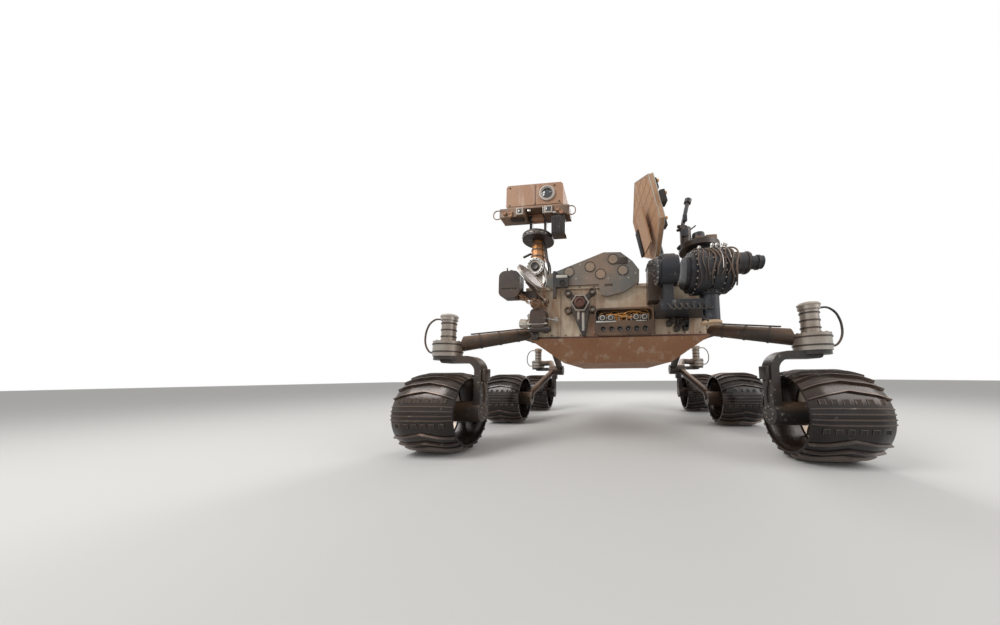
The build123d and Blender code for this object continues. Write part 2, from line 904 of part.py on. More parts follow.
# A cable loops from each steering cap down to its housing: distance out from the column's
# axis, and height
cable_radius = 6.0
cable_route = (
    (steer_column_radius + 9.5, steer_column_top + 11),
    (steer_column_radius + 56, steer_column_top + 16),
    (steer_column_radius + 100, steer_column_top - 16),
    (steer_column_radius + 124, steer_column_top - 76),
    (steer_column_radius + 126, steer_column_top - 142),
    (steer_housing_radius + 66, steer_housing_top - 40),
    (steer_housing_radius + 38, steer_housing_top - 72),
    (steer_housing_radius + 1, steer_housing_top - 74),
)
with BuildPart() as steering_cables:
    for corner_name, side, corner_y in corners:
        loop_points = [(side * (corner_track + out), corner_y, high) for out, high in cable_route]
        add(held_cable(loop_points, cable_radius))
steering_cables.part.label = "steering_cables"
export_step(steering_cables.part, "parts/steering_cables.step")

for corner_name, side, corner_y in corners:
    corner_x = side * corner_track
    leg_x = corner_x - side * (wheel_width / 2 + yoke_gap + yoke_leg / 2)
    with BuildPart() as yoke:
        add(
            tube(
                (corner_x, corner_y, yoke_top - 24),
                (corner_x, corner_y, yoke_top),
                steer_housing_radius - 6,
            )
        )
        with BuildSketch(Plane.XZ.offset(-(corner_y - yoke_width / 2))):
            with BuildLine():
                yoke_arm = FilletPolyline(
                    (corner_x, yoke_top - yoke_leg / 2),
                    (leg_x, yoke_top - yoke_leg / 2),
                    (leg_x, wheel_radius),
                    radius=yoke_bend,
                )
                offset(yoke_arm, amount=yoke_leg / 2, side=Side.BOTH)
            make_face()
        extrude(amount=-yoke_width)
        add(
            tube(
                (leg_x - side * yoke_leg / 2, corner_y, wheel_radius),
                (side * (corner_track + hub_offset - seat), corner_y, wheel_radius),
                drive_radius,
            )
        )
        add(
            tube(
                (corner_x, corner_y, wheel_radius),
                (side * (corner_track + hub_offset + hub_width - 12), corner_y, wheel_radius),
                spindle_radius,
            )
        )
    yoke.part.label = f"yoke_{corner_name}"
    export_step(yoke.part, f"parts/yoke_{corner_name}.step")

# Wheels: an open cleated drum, and a hub that carries it on curved blades
wheels = (
    ("front_port", 1, corner_track, front_y),
    ("front_starboard", -1, corner_track, front_y),
    ("middle_port", 1, middle_track, mid_y),
    ("middle_starboard", -1, middle_track, mid_y),
    ("rear_port", 1, corner_track, rear_y),
    ("rear_starboard", -1, corner_track, rear_y),
)
web_width = spoke_width + 8
web_depth = 10.0
for wheel_name, side, track, wheel_y in wheels:
    centre_x = side * track
    axle = Plane(origin=(centre_x, wheel_y, wheel_radius), x_dir=(0, 0, 1), z_dir=(side, 0, 0))
    with BuildPart() as wheel_rim:
        half = wheel_width / 2
        outer = wheel_radius
        edge = outer - rim_edge_drop
        inner = outer - lug_height - rim_skin
        with BuildSketch(Plane(origin=axle.origin, x_dir=(side, 0, 0), z_dir=(0, -side, 0))):
            with BuildLine():
                Polyline(
                    (-half, edge),
                    (-half + rim_edge_width, outer),
                    (half - rim_edge_width, outer),
                    (half, edge),
                    (half, edge - lug_height - rim_skin),
                    (half - rim_edge_width, inner),
                    (-half + rim_edge_width, inner),
                    (-half, edge - lug_height - rim_skin),
                    close=True,
                )
            make_face()
        revolve(axis=Axis((centre_x, wheel_y, wheel_radius), (1, 0, 0)))
    wheel_rim.part.label = f"wheel_{wheel_name}"
    export_step(wheel_rim.part, f"parts/wheel_{wheel_name}.step")

    hub_plane = axle.offset(hub_offset)
    rim_inside = wheel_radius - lug_height - rim_skin
    with BuildPart() as hub:
        with BuildSketch(hub_plane):
            Circle(hub_radius)
            Circle(spindle_radius + running, mode=Mode.SUBTRACT)
        extrude(amount=hub_width)
        with BuildSketch(hub_plane.offset(hub_width)):
            Circle(hub_radius - 14)
        extrude(amount=12)
        with BuildSketch(hub_plane.offset((hub_width - spoke_width) / 2)):
            with BuildLine():
                blade = ThreePointArc(
                    (hub_radius - 6, 0),
                    ((hub_radius + rim_inside) / 2, spoke_bow),
                    (rim_inside - web_depth / 2, 4),
                )
                offset(blade, amount=spoke_thickness / 2, side=Side.BOTH)
            blade_face = make_face(mode=Mode.PRIVATE)
            Circle(rim_inside - seat)
            Circle(rim_inside - seat - web_depth, mode=Mode.SUBTRACT)
            with PolarLocations(0, spoke_count):
                add(blade_face)
        extrude(amount=spoke_width)
    hub.part.label = f"hub_{wheel_name}"
    export_step(hub.part, f"parts/hub_{wheel_name}.step")

# Arm base: a column on a bracket from the front panel, and a fixed drum beside it
arm_station = mid_y - arm_y
bracket_low_z = 866.0
bracket_high_z = 926.0
bracket_x = 258.0
fixed_drum_x = 248.0
shoulder_swing = 181.0
with BuildPart() as arm_base:
    add(
        tube(
            (arm_x, arm_station, arm_column_bottom),
            (arm_x, arm_station, turntable_z),
            arm_column_radius,
        )
    )
    add(
        block(
            (bracket_x, arm_station - 30, bracket_low_z),
            (arm_x + 20, face_y - seat, bracket_high_z),
        )
    )
    add(
        block(
            (bracket_x + 20, arm_station - 30, bracket_high_z),
            (bracket_x + 80, arm_station + 30, shoulder_drum_z),
        )
    )
    for drum_start, drum_end, drum_radius in (
        (fixed_drum_x, fixed_drum_x + 16, fixed_drum_radius - 12),
        (fixed_drum_x + 16, arm_x - shoulder_swing - 26, fixed_drum_radius),
        (arm_x - shoulder_swing - 26, arm_x - shoulder_swing - clear, fixed_drum_radius - 8),
    ):
        add(
            tube(
                (drum_start, arm_station, shoulder_drum_z + 25),
                (drum_end, arm_station, shoulder_drum_z + 25),
                drum_radius,
            )
        )
arm_base.part.label = "arm_base"
export_step(arm_base.part, "parts/arm_base.step")

# Shoulder housing: turns on the column and holds the elevation drive, a ringed drum
shoulder_rings = (
    (-152, -127, 95),
    (-127, -97, 118),
    (-97, -17, 133),
    (-17, -4, 126),
    (-4, 48, 133),
    (48, 60, 124),
    (60, 98, 130),
    (98, shoulder_out, 112),
)
with BuildPart() as arm_shoulder:
    add(
        tube(
            (arm_x, arm_station, turntable_z + running),
            (arm_x, arm_station, shoulder_drum_z),
            turntable_radius,
        )
    )
    for ring_start, ring_end, ring_radius in shoulder_rings:
        add(
            tube(
                (arm_x + ring_start, arm_station, shoulder_drum_z),
                (arm_x + ring_end, arm_station, shoulder_drum_z),
                ring_radius,
            )
        )
arm_shoulder.part.label = "arm_shoulder"
export_step(arm_shoulder.part, "parts/arm_shoulder.step")

# Upper arm: its hub and end cap on the elevation drive, and a tube back to the elbow
elbow_station = mid_y - elbow_y
hub_in = arm_x + shoulder_out + running
hub_out = hub_in + arm_hub_width
upper_x = hub_in + arm_hub_width / 2
elbow_face = forearm_x + elbow_half
with BuildPart() as upper_arm:
    for hub_start, hub_end, ring_radius in (
        (hub_in, hub_in + 14, arm_hub_radius + 8),
        (hub_in + 14, hub_out, arm_hub_radius),
        (hub_out, hub_out + arm_cap_width, arm_cap_radius),
    ):
        add(
            tube(
                (hub_start, arm_station, shoulder_z),
                (hub_end, arm_station, shoulder_z),
                ring_radius,
            )
        )
    add(
        tube(
            (upper_x, arm_station, shoulder_z),
            (upper_x, elbow_station, elbow_z),
            arm_tube_radius,
            arm_tube_radius - 4,
        )
    )
    add(
        tube(
            (elbow_face, elbow_station, elbow_z),
            (elbow_face + 2 * elbow_half, elbow_station, elbow_z),
            elbow_radius,
        )
    )
upper_arm.part.label = "upper_arm"
export_step(upper_arm.part, "parts/upper_arm.step")

# Forearm: from the elbow up and forward to the wrist
wrist_station = mid_y - wrist_y
with BuildPart() as forearm:
    add(
        tube(
            (forearm_x - elbow_half, elbow_station, elbow_z),
            (elbow_face - running, elbow_station, elbow_z),
            elbow_radius - 4,
        )
    )
    add(
        tube(
            (forearm_x, elbow_station, elbow_z),
            (forearm_x, wrist_station, wrist_z),
            forearm_radius,
            forearm_radius - 6,
        )
    )
    add(
        tube(
            (forearm_x - wrist_half, wrist_station, wrist_z),
            (forearm_x + wrist_half, wrist_station, wrist_z),
            wrist_radius,
        )
    )
forearm.part.label = "forearm"
export_step(forearm.part, "parts/forearm.step")

# Wrist: two cheeks on the wrist drive, joined in front of it under the turret
turret_station = mid_y - turret_y
carrier_radius = 62.0
carrier_bottom = turret_bottom - 82
with BuildPart() as wrist:
    for cheek_x in (forearm_x - wrist_half - running - wrist_cheek, forearm_x + wrist_half + running):
        with BuildSketch(Plane.YZ.offset(cheek_x)):
            with Locations((wrist_station, wrist_z)):
                Circle(wrist_radius - 4)
            with BuildLine():
                Polyline(
                    (wrist_station, wrist_z - 36),
                    (turret_station + 30, carrier_bottom + 8),
                    (turret_station + 30, turret_bottom - 20),
                    (wrist_station, wrist_z + 36),
                    close=True,
                )
            make_face()
        extrude(amount=wrist_cheek)
    add(
        tube(
            (forearm_x, turret_station, carrier_bottom),
            (forearm_x, turret_station, turret_bottom),
            carrier_radius,
        )
    )
wrist.part.label = "wrist"
export_step(wrist.part, "parts/wrist.step")

# Turret: a drum with a wide disc and a dome
disc_bottom = turret_bottom + 30
disc_top = turret_bottom + 68
with BuildPart() as turret:
    for ring_low, ring_high, ring_radius in (
        (turret_bottom + running, disc_bottom, turret_radius),
        (disc_bottom, disc_top, turret_disc_radius),
    ):
        add(
            tube(
                (forearm_x, turret_station, ring_low),
                (forearm_x, turret_station, ring_high),
                ring_radius,
            )
        )
    add(
        tube(
            (forearm_x, turret_station, disc_top),
            (forearm_x, turret_station, disc_top + 98),
            58,
            44,
        )
    )
turret.part.label = "turret"
export_step(turret.part, "parts/turret.step")

# Drill on the turret: a housing, a leaning stem and its crosshead
drill_x = forearm_x - 98
drill_y = turret_station - 20
drill_knuckle = (drill_x - 24, drill_y, 1584)
drill_tip = (drill_x + 32, drill_y, 1812)
with BuildPart() as turret_drill:
    add(tube((drill_x, drill_y, disc_top + seat), (drill_x, drill_y, 1580), 40))
    add(joint_ball(drill_knuckle, 26))
    add(tube(drill_knuckle, drill_tip, 15))
    add(tube((drill_x + 25, drill_y, 1785), (drill_x + 33, drill_y, 1815), 26))
turret_drill.part.label = "turret_drill"
export_step(turret_drill.part, "parts/turret_drill.step")

# Generator: a finned drum behind the body, on a rear frame
generator_y = mid_y + generator_front_y
with BuildPart() as generator:
    add(
        tube(
            (0, generator_y, generator_z),
            (0, generator_y + generator_length, generator_z),
            generator_radius,
        )
    )
    with BuildSketch(Plane.XZ.offset(-generator_y - 30)):
        with Locations((0, generator_z)):
            with PolarLocations(0, generator_fin_count, start_angle=22.5):
                Rectangle(generator_fin_radius, generator_fin_thickness, align=(Align.MIN, Align.CENTER))
    extrude(amount=-(generator_length - 60))
    add(
        tube(
            (0, generator_y + generator_length, generator_z),
            (0, generator_y + generator_length + generator_cap, generator_z),
            96,
        )
    )
generator.part.label = "generator"
export_step(generator.part, "parts/generator.step")

with BuildPart() as generator_mount:
    add(tube((0, back_y + seat, generator_z), (0, generator_y - seat, generator_z), 90, 124))
generator_mount.part.label = "generator_mount"
export_step(generator_mount.part, "parts/generator_mount.step")

# Heat exchangers: a plate on each side of the generator, on struts from the body
exchanger_x = 400.0
exchanger_gap = 90.0
exchanger_length = 560.0
exchanger_height = 430.0
exchanger_thickness = 18.0
exchanger_z = 960.0
exchanger_start = back_y + exchanger_gap
strut_radius = 14.0
with BuildPart() as heat_exchangers:
    for side_name, side in sides:
        strut_x = side * (exchanger_x + exchanger_thickness / 2)
        with BuildSketch(Plane.YZ.offset(side * exchanger_x)):
            with Locations((exchanger_start + exchanger_length / 2, exchanger_z)):
                Rectangle(exchanger_length, exchanger_height)
        extrude(amount=side * exchanger_thickness)
        for strut_z in (exchanger_z - exchanger_height / 4, exchanger_z + exchanger_height / 4):
            add(
                tube(
                    (strut_x, back_y + seat, strut_z),
                    (strut_x, exchanger_start + strut_radius, strut_z),
                    strut_radius,
                )
            )
heat_exchangers.part.label = "heat_exchangers"
export_step(heat_exchangers.part, "parts/heat_exchangers.step")

# Differential: a beam across the deck whose ends are linked down to the rockers
beam_y = mid_y + 190
beam_z = deck_top + 74
beam_half = rocker_x - 12
beam_radius = 32.0
beam_end_radius = 20.0
beam_pivot_radius = 54.0
link_radius = 14.0
rocker_slope = atan((rocker_pivot_z - bogie_pivot_z - bogie_rise) / (bogie_y - bogie_run - pivot_y))
link_fall = (beam_y - link_radius - pivot_y) * tan(rocker_slope)
link_foot_z = rocker_pivot_z - link_fall + rocker_radius / cos(rocker_slope) + seat
with BuildPart() as differential:
    add(tube((0, beam_y, deck_top + seat), (0, beam_y, beam_z + beam_radius + 2), beam_pivot_radius))
    for side_name, side in sides:
        beam_end = (side * beam_half, beam_y, beam_z)
        add(tube((0, beam_y, beam_z), beam_end, beam_radius, beam_end_radius))
        add(joint_ball(beam_end, beam_end_radius + 4))
        add(tube(beam_end, (side * beam_half, beam_y, link_foot_z), link_radius))
differential.part.label = "differential"
export_step(differential.part, "parts/differential.step")

# Sample inlets: two funnels on the deck, each with a hinged lid
inlets = (("forward", -130, 330), ("aft", 110, 250))
inlet_radius = 46.0
inlet_height = 70.0
inlet_wall = 6.0
lid_radius = 50.0
lid_thickness = 8.0
lid_hinge = 64.0
lid_tab = 34.0
lid_barrel = 7.0
hinge_ear = 6.0
ear_web = 40.0
inlet_top = deck_top + seat + inlet_height
hinge_z = inlet_top + running + lid_thickness / 2
ear_low_y = inlet_radius - inlet_wall
with BuildPart() as inlets_body:
    for inlet_name, inlet_x, inlet_y in inlets:
        inlet_station = mid_y - inlet_y
        with BuildSketch(Plane.XY.offset(deck_top + seat)):
            with Locations((inlet_x, inlet_station)):
                Circle(inlet_radius)
                Circle(inlet_radius - inlet_wall, mode=Mode.SUBTRACT)
        extrude(amount=inlet_height)
        for ear_x in (inlet_x - lid_tab / 2 - running - hinge_ear, inlet_x + lid_tab / 2 + running):
            with BuildSketch(Plane.YZ.offset(ear_x)):
                with Locations((inlet_station + lid_hinge, hinge_z)):
                    Circle(lid_barrel)
                with BuildLine():
                    Polyline(
                        (inlet_station + ear_low_y, inlet_top - ear_web),
                        (inlet_station + lid_hinge + lid_barrel, inlet_top - lid_barrel),
                        (inlet_station + lid_hinge + lid_barrel, hinge_z),
                        (inlet_station + lid_hinge - lid_barrel, hinge_z),
                        (inlet_station + lid_radius + 2 * running, inlet_top),
                        (inlet_station + ear_low_y, inlet_top),
                        close=True,
                    )
                make_face()
            extrude(amount=hinge_ear)
inlets_body.part.label = "sample_inlets"
export_step(inlets_body.part, "parts/sample_inlets.step")
for inlet_name, inlet_x, inlet_y in inlets:
    hinge_y = mid_y - inlet_y + lid_hinge
    with BuildPart() as lid:
        with BuildSketch(Plane.XY.offset(inlet_top + running)):
            with Locations((inlet_x, mid_y - inlet_y)):
                Circle(lid_radius)
            with Locations((inlet_x, hinge_y - lid_hinge / 2)):
                Rectangle(lid_tab, lid_hinge)
        extrude(amount=lid_thickness)
        add(
            tube(
                (inlet_x - lid_tab / 2, hinge_y, hinge_z),
                (inlet_x + lid_tab / 2, hinge_y, hinge_z),
                lid_barrel,
            )
        )
    lid.part.label = f"inlet_lid_{inlet_name}"
    export_step(lid.part, f"parts/inlet_lid_{inlet_name}.step")

# Deck antennas and target at the rear
relay_x = -330.0
relay_y = 470.0
relay_height = 240.0
relay_radius = 78.0
with BuildPart() as relay_antenna:
    add(
        tube(
            (relay_x, mid_y + relay_y, deck_top + seat),
            (relay_x, mid_y + relay_y, deck_top + relay_height),
            relay_radius,
        )
    )
relay_antenna.part.label = "relay_antenna"
export_step(relay_antenna.part, "parts/relay_antenna.step")

whip_x = 390.0
whip_y = 600.0
whip_height = 250.0
whip_radius = 18.0
whip_cap_height = 50.0
whip_cap_radius = 42.0
with BuildPart() as low_gain_antenna:
    add(
        tube(
            (whip_x, mid_y + whip_y, deck_top + seat),
            (whip_x, mid_y + whip_y, deck_top + whip_height),
            whip_radius,
        )
    )
    add(
        tube(
            (whip_x, mid_y + whip_y, deck_top + whip_height),
            (whip_x, mid_y + whip_y, deck_top + whip_height + whip_cap_height),
            whip_cap_radius,
            whip_cap_radius * 0.7,
        )
    )
low_gain_antenna.part.label = "low_gain_antenna"
export_step(low_gain_antenna.part, "parts/low_gain_antenna.step")

target_x = -480.0
target_y = 250.0
target_side = 80.0
with BuildPart() as colour_target:
    add(
        block(
            (target_x, mid_y + target_y, deck_top + seat),
            (target_x + target_side, mid_y + target_y + target_side, deck_top + target_side / 2),
        )
    )
colour_target.part.label = "colour_target"
export_step(colour_target.part, "parts/colour_target.step")
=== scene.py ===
import json
import math
import random

import bpy
from mathutils import Matrix, Vector


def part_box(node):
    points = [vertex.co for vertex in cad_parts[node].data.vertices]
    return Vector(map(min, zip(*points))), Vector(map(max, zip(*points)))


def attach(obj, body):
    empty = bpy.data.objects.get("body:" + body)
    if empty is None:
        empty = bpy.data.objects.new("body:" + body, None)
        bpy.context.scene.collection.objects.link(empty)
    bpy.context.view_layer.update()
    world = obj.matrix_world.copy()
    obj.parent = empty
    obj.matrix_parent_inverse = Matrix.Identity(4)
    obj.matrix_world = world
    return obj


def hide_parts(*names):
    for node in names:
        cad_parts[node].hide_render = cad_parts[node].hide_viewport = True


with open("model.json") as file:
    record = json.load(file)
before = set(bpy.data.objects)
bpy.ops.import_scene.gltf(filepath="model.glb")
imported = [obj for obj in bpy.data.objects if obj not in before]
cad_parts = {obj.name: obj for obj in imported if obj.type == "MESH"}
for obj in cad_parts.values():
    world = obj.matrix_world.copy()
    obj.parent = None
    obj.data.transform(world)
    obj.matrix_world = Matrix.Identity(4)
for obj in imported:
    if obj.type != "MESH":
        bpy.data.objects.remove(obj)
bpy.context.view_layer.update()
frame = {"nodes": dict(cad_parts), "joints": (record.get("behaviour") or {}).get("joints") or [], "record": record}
nodes = frame["nodes"]
joints = {joint["name"]: joint for joint in frame["joints"]}
random.seed(11)
print("frame loaded:", len(nodes), "nodes")

bodyOf = {}
for bodyName, held in frame["record"]["behaviour"]["bodies"].items():
    for nodeName in held:
        bodyOf[nodeName] = bodyName
slotOf = {subpart["node"]: subpart["material_slot"] for subpart in frame["record"]["subparts"]}

# where the main pieces stand, in metres
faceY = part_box("body_shell")[0].y
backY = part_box("body_shell")[1].y
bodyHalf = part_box("body_shell")[1].x
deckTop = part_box("top_deck")[1].z
mastX, mastY, _ = joints["mast_pan"]["pos_m"]
armX, armY, _ = joints["arm_azimuth"]["pos_m"]

# directions along which round pieces are turned
toFront, toRear, toPort, toTop = (0, -1, 0), (0, 1, 0), (1, 0, 0), (0, 0, 1)

# colours that several finishes share
colours = {
    "dust": (0.42, 0.235, 0.125, 1),
    "darkDust": (0.2, 0.105, 0.055, 1),
    "bareMetal": (0.56, 0.53, 0.49, 1),
    "soot": (0.02, 0.017, 0.015, 1),
    "rust": (0.3, 0.1, 0.035, 1),
    "bleached": (0.66, 0.56, 0.44, 1),
}


class Wire:
    # wraps one socket, so that shader sums are written as plain sums
    def __init__(self, tree, socket):
        self.tree = tree
        self.socket = socket

    def math(self, operation, first, second):
        node = self.tree.nodes.new("ShaderNodeMath")
        node.operation = operation
        for slotNumber, value in enumerate((first, second)):
            if isinstance(value, Wire):
                self.tree.links.new(value.socket, node.inputs[slotNumber])
            else:
                node.inputs[slotNumber].default_value = value
        return Wire(self.tree, node.outputs[0])

    def __add__(self, other):
        return self.math("ADD", self, other)

    __radd__ = __add__

    def __sub__(self, other):
        return self.math("SUBTRACT", self, other)

    def __rsub__(self, other):
        return self.math("SUBTRACT", other, self)

    def __mul__(self, other):
        return self.math("MULTIPLY", self, other)

    __rmul__ = __mul__

    def clipped(self):
        return self.math("MAXIMUM", self.math("MINIMUM", self, 1.0), 0.0)


class Finish:
    # one material being wired
    def __init__(self, name):
        self.material = bpy.data.materials.new(name)
        self.material.use_nodes = True
        self.tree = self.material.node_tree
        self.tree.nodes.clear()
        self.place = self.node("ShaderNodeTexCoord", output="Object")
        self.facing = self.node("ShaderNodeTexCoord", output="Normal")

    def node(self, kind, settings=None, sockets=None, output=0):
        made = self.tree.nodes.new(kind)
        for key, value in (settings or {}).items():
            if key == "stops":
                ramp = made.color_ramp
                while len(ramp.elements) < len(value):
                    ramp.elements.new(0.5)
                for element, (spot, colour) in zip(ramp.elements, value):
                    element.position = spot
                    element.color = colour
            else:
                setattr(made, key, value)
        for key, value in (sockets or {}).items():
            if isinstance(value, Wire):
                self.tree.links.new(value.socket, made.inputs[key])
            else:
                made.inputs[key].default_value = value
        return Wire(self.tree, made.outputs[output]) if made.outputs else None

    def noise(self, scale, detail=4.0, rough=0.55, stretch=None):
        place = self.place
        if stretch:
            place = self.node("ShaderNodeMapping", {}, {"Vector": place, "Scale": stretch})
        sockets = {"Vector": place, "Scale": scale, "Detail": detail, "Roughness": rough}
        return self.node("ShaderNodeTexNoise", {}, sockets)

    def ramp(self, value, low, high):
        stops = [(low, (0, 0, 0, 1)), (high, (1, 1, 1, 1))]
        return self.node("ShaderNodeValToRGB", {"stops": stops}, {"Fac": value})

    def patches(self, pattern, low, high, amount):
        # how strongly a pattern shows: nothing below low, and the full amount above high
        return (self.ramp(pattern, low, high) * amount).clipped()

    def blend(self, share, first, second):
        settings = {"data_type": "RGBA"}
        return self.node("ShaderNodeMix", settings, {0: share, 6: first, 7: second}, output=2)

    def height(self):
        return self.node("ShaderNodeSeparateXYZ", {}, {"Vector": self.place}, output="Z")

    def done(self, sockets, bump=None, bumpHeight=0.002, bumpStrength=0.5):
        if bump is not None:
            bumpSockets = {"Height": bump, "Distance": bumpHeight, "Strength": bumpStrength}
            sockets["Normal"] = self.node("ShaderNodeBump", {}, bumpSockets)
        shader = self.node("ShaderNodeBsdfPrincipled", {}, sockets)
        self.node("ShaderNodeOutputMaterial", {}, {"Surface": shader})
        return self.material


# columns: paint, roughness, metal, dust on top faces, blotches, worn to metal, streaks
finishColumns = ("paint", "rough", "metal", "dust", "blotch", "worn", "streak")
finishTable = {
    "body_paint": ((0.58, 0.49, 0.37, 1), 0.62, 0.0, 0.5, 0.85, 0.0, 1.0),
    "belly_paint": ((0.32, 0.15, 0.075, 1), 0.7, 0.0, 0.4, 0.8, 0.0, 0.3),
    "deck_paint": ((0.56, 0.45, 0.34, 1), 0.65, 0.0, 0.7, 0.5, 0.0, 0.0),
    "dark_hood": ((0.13, 0.12, 0.105, 1), 0.5, 0.0, 0.2, 0.8, 0.1, 0.0),
    "camera_black": ((0.018, 0.016, 0.015, 1), 0.35, 0.0, 0.25, 0.3, 0.0, 0.0),
    "dark_metal": ((0.03, 0.026, 0.024, 1), 0.4, 0.2, 0.22, 0.35, 0.25, 0.0),
    "bronze_box": ((0.032, 0.022, 0.017, 1), 0.4, 0.2, 0.25, 0.4, 0.2, 0.0),
    "bare_metal": ((0.36, 0.33, 0.29, 1), 0.4, 0.6, 0.35, 0.75, 0.0, 0.0),
    "head_tan": ((0.36, 0.19, 0.11, 1), 0.6, 0.0, 0.45, 0.7, 0.04, 0.5),
    "head_brown": ((0.1, 0.058, 0.037, 1), 0.5, 0.1, 0.3, 0.5, 0.15, 0.0),
    "antenna_tan": ((0.47, 0.27, 0.15, 1), 0.6, 0.0, 0.25, 0.45, 0.0, 0.4),
    "arm_dark": ((0.012, 0.014, 0.019, 1), 0.46, 0.12, 0.08, 0.12, 0.14, 0.0),
    "generator_grey": ((0.42, 0.39, 0.35, 1), 0.55, 0.2, 0.45, 0.5, 0.1, 0.3),
    "plate_white": ((0.58, 0.53, 0.46, 1), 0.6, 0.0, 0.5, 0.5, 0.0, 0.4),
    "wheel_metal": ((0.009, 0.006, 0.006, 1), 0.2, 0.3, 0.06, 0.14, 0.08, 0.0),
    "lug_metal": ((0.09, 0.075, 0.068, 1), 0.3, 0.7, 0.08, 0.35, 0.25, 0.0),
    "spoke_metal": ((0.2, 0.18, 0.16, 1), 0.3, 0.85, 0.3, 0.6, 0.1, 0.0),
    "cable_black": ((0.025, 0.021, 0.019, 1), 0.55, 0.0, 0.25, 0.4, 0.0, 0.0),
    "hose_brown": ((0.2, 0.095, 0.045, 1), 0.55, 0.0, 0.3, 0.4, 0.0, 0.0),
    "tube_brown": ((0.045, 0.032, 0.025, 1), 0.4, 0.3, 0.35, 0.5, 0.2, 0.0),
    "pale_fitting": ((0.5, 0.46, 0.4, 1), 0.45, 0.1, 0.35, 0.6, 0.0, 0.0),
    "silver": ((0.5, 0.48, 0.45, 1), 0.3, 0.75, 0.15, 0.5, 0.0, 0.0),
    "gold_wire": ((0.75, 0.36, 0.1, 1), 0.3, 0.75, 0.1, 0.4, 0.0, 0.0),
    "red_brown": ((0.085, 0.028, 0.018, 1), 0.45, 0.2, 0.15, 0.3, 0.0, 0.0),
    "matt_black": ((0.008, 0.007, 0.007, 1), 0.75, 0.0, 0.1, 0.1, 0.0, 0.0),
    "tan_cap": ((0.5, 0.35, 0.22, 1), 0.55, 0.1, 0.5, 0.5, 0.0, 0.0),
    "pad_tan": ((0.25, 0.195, 0.145, 1), 0.6, 0.0, 0.3, 0.9, 0.0, 0.0),
    "bay_brown": ((0.035, 0.02, 0.014, 1), 0.5, 0.1, 0.2, 0.5, 0.1, 0.0),
    "tray_brown": ((0.09, 0.065, 0.05, 1), 0.35, 0.4, 0.25, 0.6, 0.2, 0.0),
}


# noise patterns: scale, detail, roughness, stretch
patterns = {
    "clouds": (3.2, 6, 0.55, None),
    "grain": (60, 5, 0.7, None),
    "chips": (22, 8, 0.75, None),
    "runs": (9, 5, 0.6, (1, 1, 0.16)),
    "stains": (4.5, 7, 0.7, (1, 1, 0.4)),
    "bleached": (14, 4, 0.6, (1, 1, 0.2)),
}


def weathered(name, values):
    # paint, blotches of dirt, streaks, worn spots down to metal, then dust that lies on top
    finish = Finish(name)
    clouds, grain, chips = (finish.noise(*patterns[key]) for key in ("clouds", "grain", "chips"))
    upward = finish.node("ShaderNodeSeparateXYZ", {}, {"Vector": finish.facing}, output="Z")
    dirt = colours["darkDust"] if values["rough"] < 0.5 else colours["dust"]
    blotch = finish.patches(clouds, 0.42, 0.68, values["blotch"] * 0.7)
    colour = finish.blend(blotch, values["paint"], dirt)
    if values["streak"]:
        runs, stains, bleached = (finish.noise(*patterns[key]) for key in ("runs", "stains", "bleached"))
        streaks = finish.patches(runs, 0.5, 0.66, values["streak"] * 0.75)
        colour = finish.blend(streaks, colour, colours["rust"])
        stained = finish.patches(stains, 0.52, 0.62, values["streak"] * 0.5)
        colour = finish.blend(stained, colour, colours["darkDust"])
        colour = finish.blend(finish.patches(bleached, 0.56, 0.7, 0.4), colour, colours["bleached"])
    colour = finish.blend(((grain - 0.35) * 0.4).clipped(), colour, colours["soot"])
    worn = finish.patches(chips, 0.6, 0.66, values["worn"] * 1.6)
    colour = finish.blend(worn, colour, colours["bareMetal"])
    lying = upward * 0.9 + clouds * 0.9 + grain * 0.35 - 0.82
    settled = (lying * values["dust"] * 1.6).clipped()
    colour = finish.blend(settled, colour, colours["dust"])
    rough = (values["rough"] + settled * 0.35 + (grain - 0.5) * 0.22 - worn * 0.12).clipped()
    metal = ((1 - settled) * values["metal"]).clipped() if values["metal"] else 0.0
    sockets = {"Base Color": colour, "Roughness": rough, "Metallic": metal}
    return finish.done(sockets, grain + chips * 0.6, 0.0012)


foilValues = {
    "foil": (0.58, 0.25, 0.07, 1),
    # darker colour for the hollows of the folds: painted shade
    "shade": (0.13, 0.05, 0.02, 1),
    "drum": (0.035, 0.027, 0.022, 1),
    "drumBottom": 1.611,
    "foot": (0.4, 0.2, 0.09, 1),
}


def wrappedFoil(name, values):
    # crumpled golden wrap on the mast, with painted shade in its folds, dark on the drum above it
    finish = Finish(name)
    folds = finish.noise(26, 7, 0.7)
    cells = {"Vector": finish.place, "Scale": 22.0}
    creases = finish.node("ShaderNodeTexVoronoi", {"feature": "DISTANCE_TO_EDGE"}, cells)
    patches = finish.noise(11, 4)
    level = finish.height()
    # painted shade: the low parts of the folds, which the bump also sinks, take the darker colour
    colour = finish.blend(finish.ramp(folds, 0.38, 0.62), values["shade"], values["foil"])
    colour = finish.blend(finish.ramp(patches, 0.5, 0.62), colour, values["foot"])
    # halved, because a ramp's stops end at 1
    bottom = values["drumBottom"] * 0.5
    onDrum = finish.ramp(level * 0.5, bottom - 0.002, bottom)
    colour = finish.blend(onDrum, colour, values["drum"])
    metal = ((1 - onDrum) * 0.5 + 0.15).clipped()
    rough = (0.28 + folds * 0.3).clipped()
    sockets = {"Base Color": colour, "Roughness": rough, "Metallic": metal}
    return finish.done(sockets, folds + creases * 0.8, 0.006, 0.8)


glassValues = {
    "tint": (0.006, 0.007, 0.009, 1),
    "haze": (0.12, 0.08, 0.05, 1),
    "rough": 0.05,
    "coat": 1.0,
    "coatRough": 0.03,
}


